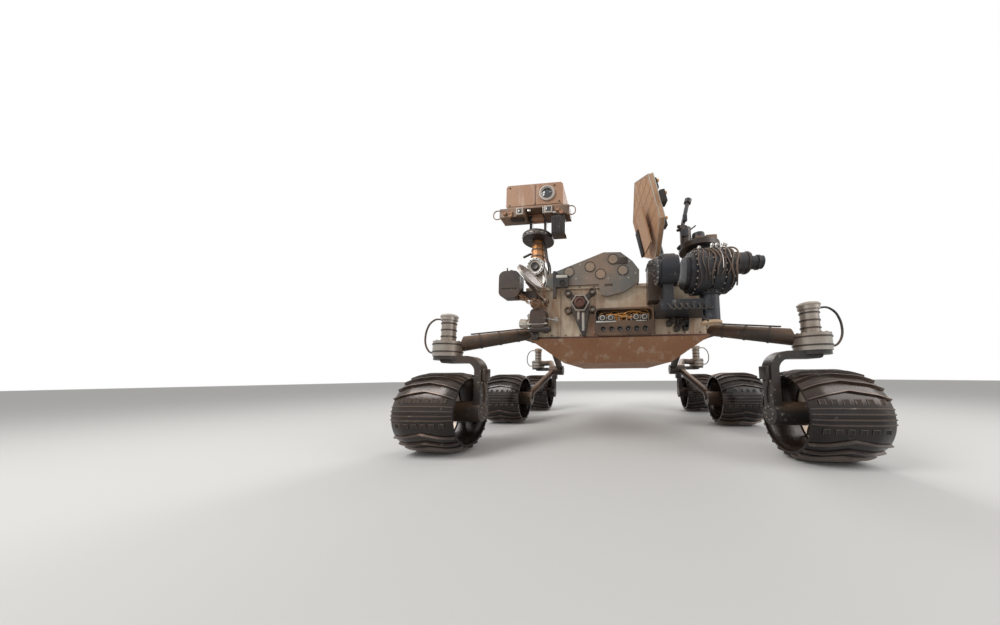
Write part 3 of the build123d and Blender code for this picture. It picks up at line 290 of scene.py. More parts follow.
def darkGlass(name, values):
    # near black glass under a thin haze of dust
    finish = Finish(name)
    film = finish.ramp(finish.noise(30, 6, 0.7), 0.55, 0.8)
    colour = finish.blend((film * 0.25).clipped(), values["tint"], values["haze"])
    rough = (film * 0.3 + values["rough"]).clipped()
    coat = {"Coat Weight": values["coat"], "Coat Roughness": values["coatRough"]}
    return finish.done({"Base Color": colour, "Roughness": rough, **coat})


finishes = {}
for finishName, row in finishTable.items():
    finishes[finishName] = weathered(finishName + "_finish", dict(zip(finishColumns, row)))
finishes["mast_gold"] = wrappedFoil("mast_gold_finish", foilValues)
finishes["glass"] = darkGlass("dark_glass_finish", glassValues)
print("finishes made:", len(finishes))

# pieces of one slot that look different in the photo
ownFinish = {"camera_bay": "bay_brown", "inspection_tray": "tray_brown", "arm_base": "arm_dark"}
for nodeName, slotName in slotOf.items():
    node = nodes[nodeName]
    node.data.materials.clear()
    node.data.materials.append(finishes[ownFinish.get(nodeName, slotName)])


def alone(piece):
    bpy.ops.object.select_all(action="DESELECT")
    piece.select_set(True)
    bpy.context.view_layer.objects.active = piece


def inEditMode(piece):
    alone(piece)
    bpy.ops.object.mode_set(mode="EDIT")
    bpy.ops.mesh.select_mode(type="VERT")
    bpy.ops.mesh.select_all(action="SELECT")


def backInObjectMode():
    bpy.ops.object.mode_set(mode="OBJECT")


def pickFaces(piece, chosen):
    # leaves the piece in edit mode with only the chosen faces selected
    inEditMode(piece)
    bpy.ops.mesh.select_mode(type="FACE")
    bpy.ops.mesh.select_all(action="DESELECT")
    backInObjectMode()
    for face in piece.data.polygons:
        face.select = chosen(face)
    bpy.ops.object.mode_set(mode="EDIT")


def applied(piece):
    alone(piece)
    bpy.ops.object.transform_apply(location=True, rotation=True, scale=True)
    return piece


def block(low, high, edge, steps=2):
    # a block between two corners with rounded edges
    bpy.ops.object.select_all(action="DESELECT")
    middle = [(a + b) / 2 for a, b in zip(low, high)]
    bpy.ops.mesh.primitive_cube_add(size=1, location=middle)
    piece = bpy.context.object
    piece.scale = [b - a for a, b in zip(low, high)]
    applied(piece)
    inEditMode(piece)
    bpy.ops.mesh.bevel(offset=edge, segments=steps, affect="EDGES")
    backInObjectMode()
    return piece


def turned(profile, start, toward, steps=36):
    # a round piece, spun from (distance along the axis, radius) points
    bpy.ops.object.select_all(action="DESELECT")
    bpy.ops.mesh.primitive_plane_add(size=0.01)
    piece = bpy.context.object
    inEditMode(piece)
    bpy.ops.mesh.merge(type="CENTER")
    last = (0, 0)
    for pointNumber, point in enumerate(profile):
        move = (point[1] - last[1], 0, point[0] - last[0])
        if pointNumber:
            bpy.ops.mesh.extrude_vertices_move(TRANSFORM_OT_translate={"value": move})
        else:
            bpy.ops.transform.translate(value=move)
        last = point
    bpy.ops.mesh.select_all(action="SELECT")
    bpy.ops.mesh.spin(steps=steps, angle=2 * math.pi, center=(0, 0, 0), axis=(0, 0, 1))
    bpy.ops.mesh.select_all(action="SELECT")
    bpy.ops.mesh.remove_doubles(threshold=0.00001)
    bpy.ops.mesh.normals_make_consistent(inside=False)
    backInObjectMode()
    piece.rotation_euler = Vector(toward).to_track_quat("Z", "Y").to_euler()
    piece.location = start
    return applied(piece)


def band(inner, outer, width, start, toward, steps, easeIn=0.001, easeOut=0.001):
    # a thin ring with eased edges, as round a tube
    top = [(easeIn, outer), (width - easeOut, outer)]
    return turned([(0, inner)] + top + [(width, inner), (0, inner)], start, toward, steps)


def run(points, radius, sides=2):
    # a round wire, hose or rod that passes through its points
    curve = bpy.data.curves.new("run", "CURVE")
    curve.dimensions = "3D"
    curve.bevel_depth = radius
    curve.bevel_resolution = sides
    curve.resolution_u = 6
    curve.use_fill_caps = True
    spline = curve.splines.new("BEZIER")
    spline.bezier_points.add(len(points) - 1)
    for point, place in zip(spline.bezier_points, points):
        point.co = place
        point.handle_left_type = point.handle_right_type = "AUTO"
    piece = bpy.data.objects.new("run", curve)
    bpy.context.collection.objects.link(piece)
    alone(piece)
    bpy.ops.object.convert(target="MESH")
    return bpy.context.object


def rod(start, end, radius, sides=16):
    # a straight rod with eased ends
    length = (Vector(end) - Vector(start)).length
    ease = radius * 0.25
    wall = [(0, radius - ease), (ease, radius), (length - ease, radius), (length, radius - ease)]
    return turned([(0, 0)] + wall + [(length, 0)], start, Vector(end) - Vector(start), sides)


def shifted(origin, offset):
    return tuple(a + b for a, b in zip(origin, offset))


def blocksFrom(origin, rows):
    # blocks from (low corner, high corner, edge) rows, measured from one point
    return [block(shifted(origin, low), shifted(origin, high), edge) for low, high, edge in rows]


def rodsFrom(origin, rows):
    # rods from (start, end, radius) rows, measured from one point
    return [rod(shifted(origin, start), shifted(origin, end), radius) for start, end, radius in rows]


def joined(pieces):
    bpy.ops.object.select_all(action="DESELECT")
    for piece in pieces:
        piece.select_set(True)
    bpy.context.view_layer.objects.active = pieces[0]
    if len(pieces) > 1:
        bpy.ops.object.join()
    return bpy.context.object


def spread(template, places):
    # one copy of the template, with its own mesh, at each place
    made = []
    for place in places:
        twin = template.copy()
        twin.data = template.data.copy()
        twin.matrix_world = place @ template.matrix_world
        bpy.context.collection.objects.link(twin)
        made.append(twin)
    bpy.data.objects.remove(template)
    return applied(joined(made))


def bolts(spots, radius, height):
    # hexagon heads at (place, outward direction) spots, sunk a little
    bpy.ops.object.select_all(action="DESELECT")
    bpy.ops.mesh.primitive_cylinder_add(vertices=6, radius=radius, depth=height)
    head = bpy.context.object
    pickFaces(head, lambda face: face.normal.z > 0.9)
    bpy.ops.mesh.inset(thickness=radius * 0.25, depth=radius * 0.2)
    backInObjectMode()
    places = []
    for place, outward in spots:
        turn = Vector(outward).to_track_quat("Z", "Y").to_matrix().to_4x4()
        middle = Vector(place) + Vector(outward).normalized() * height * 0.45
        places.append(Matrix.Translation(middle) @ turn)
    return spread(head, places)


def ringSpots(centre, outward, radius, count):
    # evenly spaced spots round an axis, all facing along it
    turn = Vector(outward).to_track_quat("Z", "Y").to_matrix()
    spots = []
    for number in range(count):
        angle = 2 * math.pi * number / count
        offset = turn @ Vector((math.cos(angle) * radius, math.sin(angle) * radius, 0))
        spots.append((Vector(centre) + offset, outward))
    return spots


def radialSpots(centre, axis, radius, count):
    # evenly spaced spots round an axis, each facing away from it
    return [(place, place - Vector(centre)) for place, _ in ringSpots(centre, axis, radius, count)]


def fit(made, name, nodeName, finish, smooth=32):
    # hands a finished piece, or a list that makes one, to the body that holds the named node
    piece = applied(joined(made) if isinstance(made, list) else made)
    if smooth:
        bpy.ops.object.shade_smooth_by_angle(angle=math.radians(smooth))
    piece.name = name
    piece.data.name = name
    piece.data.materials.clear()
    piece.data.materials.append(finishes[finish])
    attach(piece, bodyOf[nodeName])
    return piece


# fine wheels: a thin crowned skin with chevron lugs, in place of the plain drums
wheelValues = {
    "half": 0.19,
    "middleHalf": 0.104,
    "edgeDrop": 0.022,
    "skinRadius": 0.2405,
    "skin": 0.005,
    "skinSteps": 24,
    "lipWidth": 0.012,
    "lipDrop": 0.014,
    "lugTop": 0.254,
    "lugCount": 24,
    "lugWidth": 0.007,
    "lugSteps": 16,
    "lugBend": 0.02,
    "lugSink": 0.003,
    # widths of a lug's top and foot, as shares of its width
    "lugTaper": (0.8, 1.5),
    "barTop": 0.247,
    "barAngles": (77, 83.5, 90, 96),
    # the stretch of the tread, in degrees, that has bars and openings in place of chevrons
    "marked": (62, 112),
    "holeColumns": (-0.135, -0.081, -0.027, 0.027, 0.081, 0.135),
    "holeRows": (69, 104),
    "holeHalf": (0.0125, 0.011),
    "rimHalf": (0.0155, 0.0135),
    "rimHeight": 0.0022,
    "capAt": 0.097,
    "capLine": ((0, 0), (0, 0.036), (0.004, 0.04), (0.008, 0.036), (0.012, 0.02), (0.013, 0)),
    "capBoltRing": 0.056,
    "capBoltCount": 10,
}


def crownFall(across, values):
    # how far the tread has fallen from its middle towards the rims
    beyond = max(abs(across) - values["middleHalf"], 0) / (values["half"] - values["middleHalf"])
    return values["edgeDrop"] * beyond**1.5


def makeSkin(values):
    half, steps = values["half"], values["skinSteps"]
    lipWidth, lipDrop = values["lipWidth"], values["lipDrop"]
    outside = []
    for step in range(steps + 1):
        across = -half + 2 * half * step / steps
        outside.append((across, values["skinRadius"] - crownFall(across, values)))
    rim = outside[0][1]
    farLip = [(half, rim - lipWidth), (half - lipWidth, rim - lipDrop)]
    nearLip = [(-half + lipWidth, rim - lipDrop), (-half, rim - lipWidth)]
    inside = [(across, radius - values["skin"]) for across, radius in reversed(outside[2:-2])]
    return turned(outside + farLip + inside + nearLip + outside[:1], (0, 0, 0), toPort, 90)


def makeLug(values, bend, top):
    # a bar across the tread, bent to a chevron, that follows the crown
    half, steps = values["half"], values["lugSteps"]
    topShare, footShare = values["lugTaper"]
    bpy.ops.object.select_all(action="DESELECT")
    bpy.ops.mesh.primitive_cube_add(size=1)
    lug = bpy.context.object
    lug.scale = (2 * half, values["lugWidth"], 0.02)
    applied(lug)
    inEditMode(lug)
    for step in range(1, steps):
        bpy.ops.mesh.select_all(action="SELECT")
        bpy.ops.mesh.bisect(plane_co=(-half + 2 * half * step / steps, 0, 0), plane_no=toPort)
    bpy.ops.mesh.select_all(action="DESELECT")
    backInObjectMode()
    for point in lug.data.vertices:
        upper = point.co.z > 0
        taper = topShare if upper else footShare
        point.co.y = point.co.y * taper + bend * (1 - 2 * abs(point.co.x) / half)
        base = top if upper else values["skinRadius"] - values["lugSink"]
        point.co.z = base - crownFall(point.co.x, values)
    return lug


def aroundAxle(angles):
    return [Matrix.Rotation(math.radians(angle), 4, "X") for angle in angles]


def makeLugs(values):
    first, last = values["marked"]
    angles = [360 * number / values["lugCount"] for number in range(values["lugCount"])]
    plain = aroundAxle([angle for angle in angles if not first < angle < last])
    chevrons = spread(makeLug(values, values["lugBend"], values["lugTop"]), plain)
    bars = spread(makeLug(values, 0, values["barTop"]), aroundAxle(values["barAngles"]))
    return joined([chevrons, bars])


def makeMarks(values):
    # small openings in the marked stretch of the tread, each with a raised rim on three sides; each opening is a
    # thin matt black patch on the skin, painted shade for the wheel's dark inside
    (holeX, holeY), (rimX, rimY), rimTop = values["holeHalf"], values["rimHalf"], values["rimHeight"]
    foot, proud = -0.001, 0.0006
    # the opening itself is a thin matt black block: painted shade
    paintedHoleShade = block((-holeX, -holeY, foot), (holeX, holeY, proud), 0.0008, 1)
    sides = (
        ((-rimX, -rimY, foot), (-holeX, rimY, rimTop)),
        ((holeX, -rimY, foot), (rimX, rimY, rimTop)),
        ((-rimX, holeY + 0.0005, foot), (rimX, rimY + 0.0003, rimTop)),
    )
    rim = joined([block(low, high, 0.0006, 1) for low, high in sides])
    places = []
    for across in values["holeColumns"]:
        out = values["skinRadius"] - crownFall(across, values) + proud
        for turn in aroundAxle(values["holeRows"]):
            places.append(turn @ Matrix.Translation((across, 0, out)))
    return spread(paintedHoleShade, places), spread(rim, places)


def makeHubFace(values):
    # cap and bolts on the outer face of a hub
    start = (values["capAt"], 0, 0)
    spots = ringSpots(start, toPort, values["capBoltRing"], values["capBoltCount"])
    return joined([turned(values["capLine"], start, toPort, 32), bolts(spots, 0.006, 0.007)])


def makeWheels(values):
    paintedHoleShades, rims = makeMarks(values)
    parts = (
        (makeSkin(values), "tread", "wheel_metal"),
        (makeLugs(values), "lugs", "lug_metal"),
        # matt black patches in place of the openings: painted shade
        (paintedHoleShades, "marks", "matt_black"),
        (rims, "mark_rims", "lug_metal"),
        (makeHubFace(values), "cap", "bare_metal"),
    )
    for nodeName in [name for name in nodes if name.startswith("wheel_")]:
        place = nodeName[len("wheel") :]
        low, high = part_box(nodeName)
        centre = Vector(((low.x + high.x) / 2, joints["roll" + place]["pos_m"][1], values["lugTop"]))
        for template, label, finish in parts:
            twin = template.copy()
            twin.data = template.data.copy()
            bpy.context.collection.objects.link(twin)
            # only the cap has a side that must face outwards
            side = Matrix.Rotation(math.pi if label == "cap" and centre.x < 0 else 0, 4, "Z")
            twin.matrix_world = Matrix.Translation(centre) @ side
            piece = fit(twin, label + place, nodeName, finish)
            if label == "tread":
                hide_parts(nodeName)
    for template, _, _ in parts:
        bpy.data.objects.remove(template)


makeWheels(wheelValues)
print("wheels made")


# camera head: lens, seams, screws, and what the camera bar carries
headValues = {
    "lensX": mastX + 0.102,
    "lensZ": 1.964,
    "frontY": mastY - 0.115,
    "vanes": (
        ((-0.044, -0.0075, -0.003), (-0.018, -0.0035, 0.002), 0.001),
        ((0.018, -0.0075, 0.004), (0.04, -0.0035, 0.008), 0.001),
    ),
    # from the mast's axis: middle, half width and half pane of each square eye
    "eyes": ((-0.12, 0.03, 0.012), (0.116, 0.033, 0.02)),
    "eyeTop": 1.8457,
    "eyeBottom": 1.7857,
    "barrels": ((-0.2, 1.815), (-0.25, 1.812), (0.19, 1.815), (0.22, 1.79), (-0.2, 1.79)),
    "clips": (
        ((-0.058, -0.012, 1.812), (-0.03, -0.002, 1.828), 0.002),
        ((0.071, -0.016, 1.784), (0.076, -0.004, 1.846), 0.001),
        ((0.155, -0.014, 1.784), (0.18, -0.004, 1.794), 0.002),
    ),
    # side and the bar's end there, then the cable loop's points from that end
    "loopEnds": ((-1, -0.935, 1.8), (1, -0.355, 1.8)),
    "loop": (
        (-0.02, -0.002, 0.038),
        (0.035, -0.004, 0.034),
        (0.05, -0.006, 0.002),
        (0.0375, -0.004, -0.03),
        (-0.02, -0.002, -0.026),
    ),
    "ribs": 9,
}


def makeHead(values):
    x, z, y = values["lensX"], values["lensZ"], values["frontY"]
    glass = [(0, 0.0485), (0.004, 0.047), (0.009, 0.036), (0.012, 0.018), (0.0125, 0)]
    fit(turned(glass, (x, y + 0.006, z), toFront, 48), "head_lens", "mast_head", "glass")
    inner = [(0, 0.0495), (0.009, 0.0495), (0.01, 0.046), (0.002, 0.043), (0, 0.0495)]
    outer = [(0, 0.0635), (0.003, 0.0665), (0.012, 0.0645), (0.013, 0.054), (0.01, 0.0515), (0, 0.0635)]
    rings = [turned(profile, (x, y, z), toFront, 48) for profile in (inner, outer)]
    fit(rings, "head_lens_ring", "mast_head", "generator_grey")
    fit(blocksFrom((x, y, z), values["vanes"]), "lens_vanes", "mast_head", "silver")
    low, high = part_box("mast_head")
    left, right = low.x + 0.03, high.x - 0.03
    corners = ((left, 2.035), (x + 0.06, 2.032), (left, 1.88), (x - 0.1, 1.88), (right, 1.89))
    screws = bolts([((cornerX, y, cornerZ), toFront) for cornerX, cornerZ in corners], 0.006, 0.006)
    fit(screws, "head_screws", "mast_head", "dark_metal")
    seams = [
        block((low.x + 0.012, y - 0.003, 1.868), (high.x - 0.012, y + 0.004, 1.874), 0.001),
        block((x - 0.1, y - 0.003, 1.876), (x - 0.096, y + 0.004, 2.05), 0.001),
    ]
    fit(seams, "head_seams", "mast_head", "head_brown")


def makeEyes(values):
    # two square eyes with bright frames
    bottom, top = values["eyeBottom"], values["eyeTop"]
    faceAt = values["frontY"] - 0.012
    middleZ = (top + bottom) / 2
    frames, panes = [], []
    for eyeX, half, pane in values["eyes"]:
        x = mastX + eyeX
        hood = block((x - half, faceAt - 0.008, bottom), (x + half, faceAt + 0.002, top), 0.003)
        pickFaces(hood, lambda face: face.normal.y < -0.9 and face.area > 0.0005)
        bpy.ops.mesh.inset(thickness=0.007, depth=0)
        bpy.ops.mesh.inset(thickness=0.001, depth=-0.006)
        backInObjectMode()
        frames.append(hood)
        low = (x - pane, faceAt - 0.006, middleZ - pane)
        panes.append(block(low, (x + pane, faceAt - 0.001, middleZ + pane), 0.002))
    fit(frames, "eye_frames", "camera_bar", "pale_fitting")
    fit(panes, "eye_panes", "camera_bar", "glass")


def makeBar(values):
    # small lens barrels, clips and cable loops on the bar, and ribs on the box under it
    y = values["frontY"]
    line = [(0, 0), (0, 0.017), (0.012, 0.017), (0.014, 0.014), (0.01, 0.011), (0.01, 0)]
    barrels = [turned(line, (mastX + x, y - 0.004, z), toFront, 20) for x, z in values["barrels"]]
    fit(barrels, "bar_barrels", "camera_bar", "head_tan")
    fit(blocksFrom((mastX, y, 0), values["clips"]), "bar_clips", "camera_bar", "silver")
    under = block((mastX - 0.21, y + 0.01, 1.764), (mastX - 0.1, y + 0.05, 1.781), 0.006)
    fit(under, "bar_under_box", "camera_bar", "matt_black")
    loops = []
    for side, endX, endZ in values["loopEnds"]:
        points = [(endX + out * side, y + back, endZ + up) for out, back, up in values["loop"]]
        loops.append(run(points, 0.0042))
    fit(loops, "bar_cables", "camera_bar", "hose_brown")
    low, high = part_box("head_heatsink")
    ribs = []
    for number in range(values["ribs"]):
        x = low.x + 0.006 + (high.x - low.x - 0.016) * number / (values["ribs"] - 1)
        top = (x + 0.004, low.y + 0.004, high.z - 0.02)
        ribs.append(block((x, low.y - 0.007, low.z + 0.004), top, 0.001, 1))
    fit(ribs, "heatsink_ribs", "head_heatsink", "dark_metal")


makeHead(headValues)
makeEyes(headValues)
makeBar(headValues)
print("head dressed")


# mast: a ringed hinge with struts, its cables, straps and the drum's bolts
mastValues = {
    "hingeZ": 1.362,
    "hingeFace": mastY - 0.088,
    "boltCount": 14,
    # from the hinge: upper end, then the foot's place on the deck, then the radius
    "struts": (
        ((0.075, 0.01, -0.02), (0.11, 0.03), 0.007),
        ((0.07, 0.04, 0.03), (0.155, 0.05), 0.006),
        ((-0.06, 0.01, -0.05), (-0.005, 0.012), 0.007),
    ),
    "feet": (0.11, 0.155),
    # from the mast's axis, with real heights
    "cable": (
        (0.045, -0.035, 1.6),
        (0.062, -0.034, 1.54),
        (0.07, -0.03, 1.48),
        (0.078, -0.04, 1.44),
        (0.1, -0.05, 1.38),
        (0.1, -0.05, 1.3),
        (0.075, -0.066, 1.22),
        (0.066, -0.066, 1.14),
    ),
    # height and the tube's radius there
    "straps": ((1.47, 0.0595), (1.53, 0.0555), (1.58, 0.0525)),
    "drumBolts": 20,
    "drumBoltRing": 0.1315,
    "rimUp": 0.189,
}


def makeHinge(values):
    y, z = values["hingeFace"], values["hingeZ"]
    ring = [(0, 0.05), (0.007, 0.052), (0.009, 0.062), (0.006, 0.073), (0, 0.075), (0, 0.05)]
    fit(turned(ring, (mastX, y, z), toFront, 48), "hinge_ring", "mast_base", "silver")
    cap = [(0, 0), (0, 0.034), (0.012, 0.034), (0.016, 0.028), (0.012, 0.02), (0.012, 0)]
    fit(turned(cap, (mastX, y, z), toFront, 36), "hinge_cap", "mast_base", "dark_metal")
    spots = ringSpots((mastX, y - 0.005, z), toFront, 0.0625, values["boltCount"])
    fit(bolts(spots, 0.005, 0.006), "hinge_bolts", "mast_base", "dark_metal")
    struts = []
    for upper, (footX, footY), radius in values["struts"]:
        foot = (mastX + footX, y + footY, deckTop + 0.004)
        struts.append(rod(shifted((mastX, y, z), upper), foot, radius))
    fit(struts, "hinge_struts", "mast_base", "silver")
    feet = [((x - 0.02, 0.01, 0.0005), (x + 0.02, 0.06, 0.01), 0.002) for x in values["feet"]]
    fit(blocksFrom((mastX, y, deckTop), feet), "strut_feet", "mast_base", "bare_metal")


def makeMast(values):
    cable = [(mastX + x, mastY + y, z) for x, y, z in values["cable"]]
    second = [shifted(place, (0.012, 0.014, 0)) for place in cable]
    fit([run(cable, 0.008), run(second, 0.006)], "mast_cables", "mast_tube", "cable_black")
    straps = [
        band(radius - 0.004, radius + 0.002, 0.012, (mastX, mastY, z - 0.006), toTop, 40, 0, 0)
        for z, radius in values["straps"]
    ]
    fit(straps, "mast_straps", "mast_tube", "head_brown")
    peg = rod((mastX - 0.05, mastY - 0.03, 1.5), (mastX - 0.115, mastY - 0.04, 1.465), 0.009)
    fit(peg, "mast_peg", "mast_tube", "dark_metal")
    low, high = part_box("mast_tube")
    drum = (mastX, mastY, high.z - 0.03)
    spots = radialSpots(drum, toTop, values["drumBoltRing"], values["drumBolts"])
    fit(bolts(spots, 0.005, 0.005), "drum_bolts", "mast_tube", "tube_brown")
    rim = [(0, 0.126), (0.002, 0.1325), (0.006, 0.1325), (0.008, 0.126), (0, 0.126)]
    place = (mastX, mastY, low.z + values["rimUp"])
    fit(turned(rim, place, toTop, 56), "drum_rim", "mast_tube", "bare_metal")


makeHinge(mastValues)
makeMast(mastValues)
print("mast dressed")


# starboard front group: rods, fittings, wires, and details on the boxes and the tray
groupValues = {
    "frontY": faceY - 0.05,
    # from the plane in front of the panel
    "rods": (
        ((-0.625, 0, 0.906), (-0.402, 0.01, 0.868), 0.006),
        ((-0.67, -0.03, 0.836), (-0.472, -0.03, 0.84), 0.006),
        ((-0.6, 0, 0.885), (-0.54, -0.01, 0.872), 0.005),
    ),
    # from the panel's face
    "paleBlocks": (
        ((-0.63, -0.03, 0.87), (-0.6, -0.001, 0.925), 0.004),
        ((-0.435, -0.02, 0.86), (-0.41, -0.001, 0.9), 0.003),
    ),
    "darkBlocks": (
        ((-0.52, -0.036, 0.786), (-0.48, -0.001, 0.83), 0.004),
        ((-0.6, -0.04, 0.735), (-0.552, -0.001, 0.8), 0.006),
        ((-0.47, -0.014, 0.748), (-0.4, -0.001, 0.757), 0.002),
    ),
    "lowerSeam": ((-0.585, -0.0875, 0.84), (-0.495, -0.083, 0.845), 0.001),
    # from the boxes' low front corner
    "knobs": (
        ((0.07, 0.045, 1.21), (0.075, 0.045, 1.235), 0.012),
        ((0.05, 0.03, 1.208), (0.046, 0.03, 1.246), 0.005),
    ),
    "upperSeam": ((0.02, -0.003, 1.085), (0.13, 0.002, 1.09), 0.001),
    "eye": (-0.555, 0.975),
    "trayNormal": (0.75, -0.25, 0.6),
    "trayFace": (-0.578, faceY - 0.15, 1.14),
    "wires": 7,
}


def makeGroup(values):
    y = values["frontY"]
    fit(rodsFrom((0, y, 0), values["rods"]), "front_rods", "body_shell", "silver")
    line = [(0, 0), (0, 0.028), (0.004, 0.032), (0.05, 0.032), (0.052, 0.026), (0.07, 0.026), (0.072, 0)]
    pale = [turned(line, (-0.672, y - 0.005, 0.85), (1, 0, -0.1), 28)]
    pale += blocksFrom((0, faceY, 0), values["paleBlocks"])
    fit(pale, "pale_fittings", "body_shell", "pale_fitting")
    dark = [rod((-0.6, y - 0.01, 0.805), (-0.452, y - 0.01, 0.806), 0.022, 24)]
    dark += blocksFrom((0, faceY, 0), values["darkBlocks"])
    fit(dark, "dark_fittings", "body_shell", "dark_metal")
    eyeX, eyeZ = values["eye"]
    line = [(0, 0), (0, 0.034), (0.012, 0.034), (0.014, 0.026), (0.008, 0.02), (0.008, 0)]
    eye = turned(line, (eyeX, faceY - 0.084, eyeZ), toFront, 28)
    stalk = rod((eyeX, faceY - 0.001, eyeZ), (eyeX, faceY - 0.086, eyeZ), 0.018, 20)
    fit([eye, stalk], "group_eye", "body_shell", "head_brown")
    boxLow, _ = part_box("bit_boxes")
    boxCorner = (boxLow.x, boxLow.y, 0)
    fit(rodsFrom(boxCorner, values["knobs"]), "box_knobs", "bit_boxes", "dark_metal")
    seams = blocksFrom(boxCorner, [values["upperSeam"]]) + blocksFrom((0, faceY, 0), [values["lowerSeam"]])
    fit(seams, "box_seams", "bit_boxes", "matt_black")
    normal = Vector(values["trayNormal"]).normalized()
    rim = [(0, 0.1), (0, 0.106), (0.017, 0.106), (0.018, 0.098), (0.0145, 0.096), (0.0145, 0.1), (0, 0.1)]
    fit(turned(rim, values["trayFace"], normal, 64), "tray_rim", "inspection_tray", "bare_metal")
    under = [(0, 0), (0, 0.02), (-0.008, 0.06), (-0.002, 0.1), (0, 0)]
    fit(turned(under, values["trayFace"], normal, 48), "tray_back", "inspection_tray", "head_brown")


def makeGroupWires(values):
    # a tangle that sags from the boxes to the panel
    wires = []
    for _ in range(values["wires"]):
        points = []
        for step in range(5):
            x = -0.69 + 0.045 * step + random.uniform(-0.012, 0.012)
            y = faceY - 0.1 + random.uniform(-0.02, 0.02)
            points.append((x, y, 1.05 - 0.022 * step + random.uniform(-0.03, 0.03)))
        points[0] = (-0.7, faceY - 0.036, 1.05 + random.uniform(-0.02, 0.02))
        points[-1] = (-0.5, faceY - 0.004, 0.96 + random.uniform(-0.03, 0.03))
        wires.append(run(points, 0.003))
    fit(wires, "group_wires", "body_shell", "hose_brown")


makeGroup(groupValues)
makeGroupWires(groupValues)
print("front group dressed")


# front panel and hull: seams and bolts
panelValues = {
    "boltPitch": 0.1,
    "inset": 0.05,
    "lowRow": 0.768,
    "rearRow": 1.085,
    "sideRow": 1.08,
    # from the panel's face
    "seams": (
        ((-0.395, -0.0016, 0.76), (-0.392, 0.001, 1.09), 0.0008),
        ((0.262, -0.0016, 0.76), (0.265, 0.001, 0.96), 0.0008),
    ),
}


def makePanel(values):
    shellLow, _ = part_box("body_shell")
    low = (-bodyHalf - 0.002, faceY - 0.006, shellLow.z - 0.002)
    high = (bodyHalf + 0.002, faceY + 0.004, shellLow.z + 0.012)
    seams = [block(low, high, 0.002)] + blocksFrom((0, faceY, 0), values["seams"])
    fit(seams, "panel_seams", "body_shell", "red_brown")
    inset, pitch = values["inset"], values["boltPitch"]
    spots = []
    width, length = 2 * (bodyHalf - inset), backY - faceY - 2 * inset
    count = int(width / pitch)
    for number in range(count + 1):
        across = -bodyHalf + inset + width * number / count
        spots.append(((across, faceY, values["lowRow"]), toFront))
        spots.append(((across, backY, values["lowRow"]), toRear))
        spots.append(((across, backY, values["rearRow"]), toRear))
        spots.append(((across, faceY - 0.012, deckTop - 0.01), toFront))
    count = int(length / pitch)
    for number in range(count + 1):
        along = faceY + inset + length * number / count
        for side in (-1, 1):
            spots.append(((side * bodyHalf, along, values["lowRow"]), (side, 0, 0)))
            spots.append(((side * bodyHalf, along, values["sideRow"]), (side, 0, 0)))
            spots.append(((side * (bodyHalf + 0.02), along, deckTop), toTop))
    fit(bolts(spots, 0.0055, 0.005), "panel_bolts", "body_shell", "tube_brown")


makePanel(panelValues)
print("panels dressed")


# arm restraint: rubber rings on the lobes, a hexagon rim and a round centre
restraintValues = {
    "place": (-0.25, faceY - 0.0343, 0.988),
    "lobes": ((-0.086, 0.076), (0.086, 0.08), (-0.086, -0.05), (0.086, -0.046)),
    # from the middle of the hub's face
    "leg": (
        ((0.012, -0.006, -0.198), (0.03, 0.002, -0.068), 0.004),
        ((-0.02, -0.006, -0.118), (-0.004, 0.002, -0.058), 0.004),
    ),
    "centreOut": 0.0255,
}


def makeRestraint(values):
    middle = values["place"]
    ring = [(0, 0.026), (0.012, 0.026), (0.02, 0.021), (0.018, 0.014), (0.004, 0.012), (0, 0.026)]
    dot = [(0, 0), (0, 0.011), (0.006, 0.01), (0.007, 0)]
    lobes = [shifted(middle, (x, 0, z)) for x, z in values["lobes"]]
    rings = [turned(ring, lobe, toFront, 24) for lobe in lobes]
    dots = [turned(dot, lobe, toFront, 16) for lobe in lobes]
    fit(rings, "restraint_rings", "arm_restraint", "cable_black")
    fit(dots, "restraint_dots", "arm_restraint", "bare_metal")
    rim = [(0, 0.05), (0, 0.068), (0.006, 0.07), (0.014, 0.064), (0.014, 0.056), (0.006, 0.05), (0, 0.05)]
    fit(turned(rim, middle, toFront, 6), "restraint_rim", "arm_restraint", "bare_metal", 0)
    centre = [(0, 0), (0, 0.038), (0.01, 0.036), (0.012, 0.024), (0.004, 0.02), (0.004, 0)]
    out = shifted(middle, (0, -values["centreOut"], 0))
    fit(turned(centre, out, toFront, 36), "restraint_centre", "arm_restraint", "red_brown")
    fit(blocksFrom(middle, values["leg"]), "restraint_leg", "arm_restraint", "generator_grey")


makeRestraint(restraintValues)
print("restraint dressed")


# camera bay: golden wires over the shelf, a bright shelf edge, lenses, studs and round wells
bayValues = {
    "shelf": 0.85,
    "wires": 16,
    "wireRadii": (0.0018, 0.0026, 0.0032),
    "margin": 0.03,
    "cameras": (-0.095, -0.04, 0.13, 0.185),
    "studs": (-0.12, -0.068, -0.015, 0.02, 0.07, 0.1, 0.16, 0.212),
    "wells": 6,
    "wellPitch": 0.056,
    "wellMiddle": (0.05, 0.795),
}


def makeBayWires(values, low, high):
    leftEnd, rightEnd = low.x + values["margin"], high.x - values["margin"]
    golden = []
    for _ in range(values["wires"]):
        startX = random.uniform(-0.05, 0.2)
        points = []
        for step in range(5):
            x = startX + random.uniform(-0.05, 0.05) * step
            y = faceY - 0.03 + random.uniform(-0.015, 0.015)
            z = values["shelf"] + 0.006 + random.uniform(0.0, 0.055)
            points.append((min(max(x, leftEnd), rightEnd), y, z))
        golden.append(run(points, random.choice(values["wireRadii"])))
    fit(golden, "bay_wires", "camera_bay", "gold_wire")


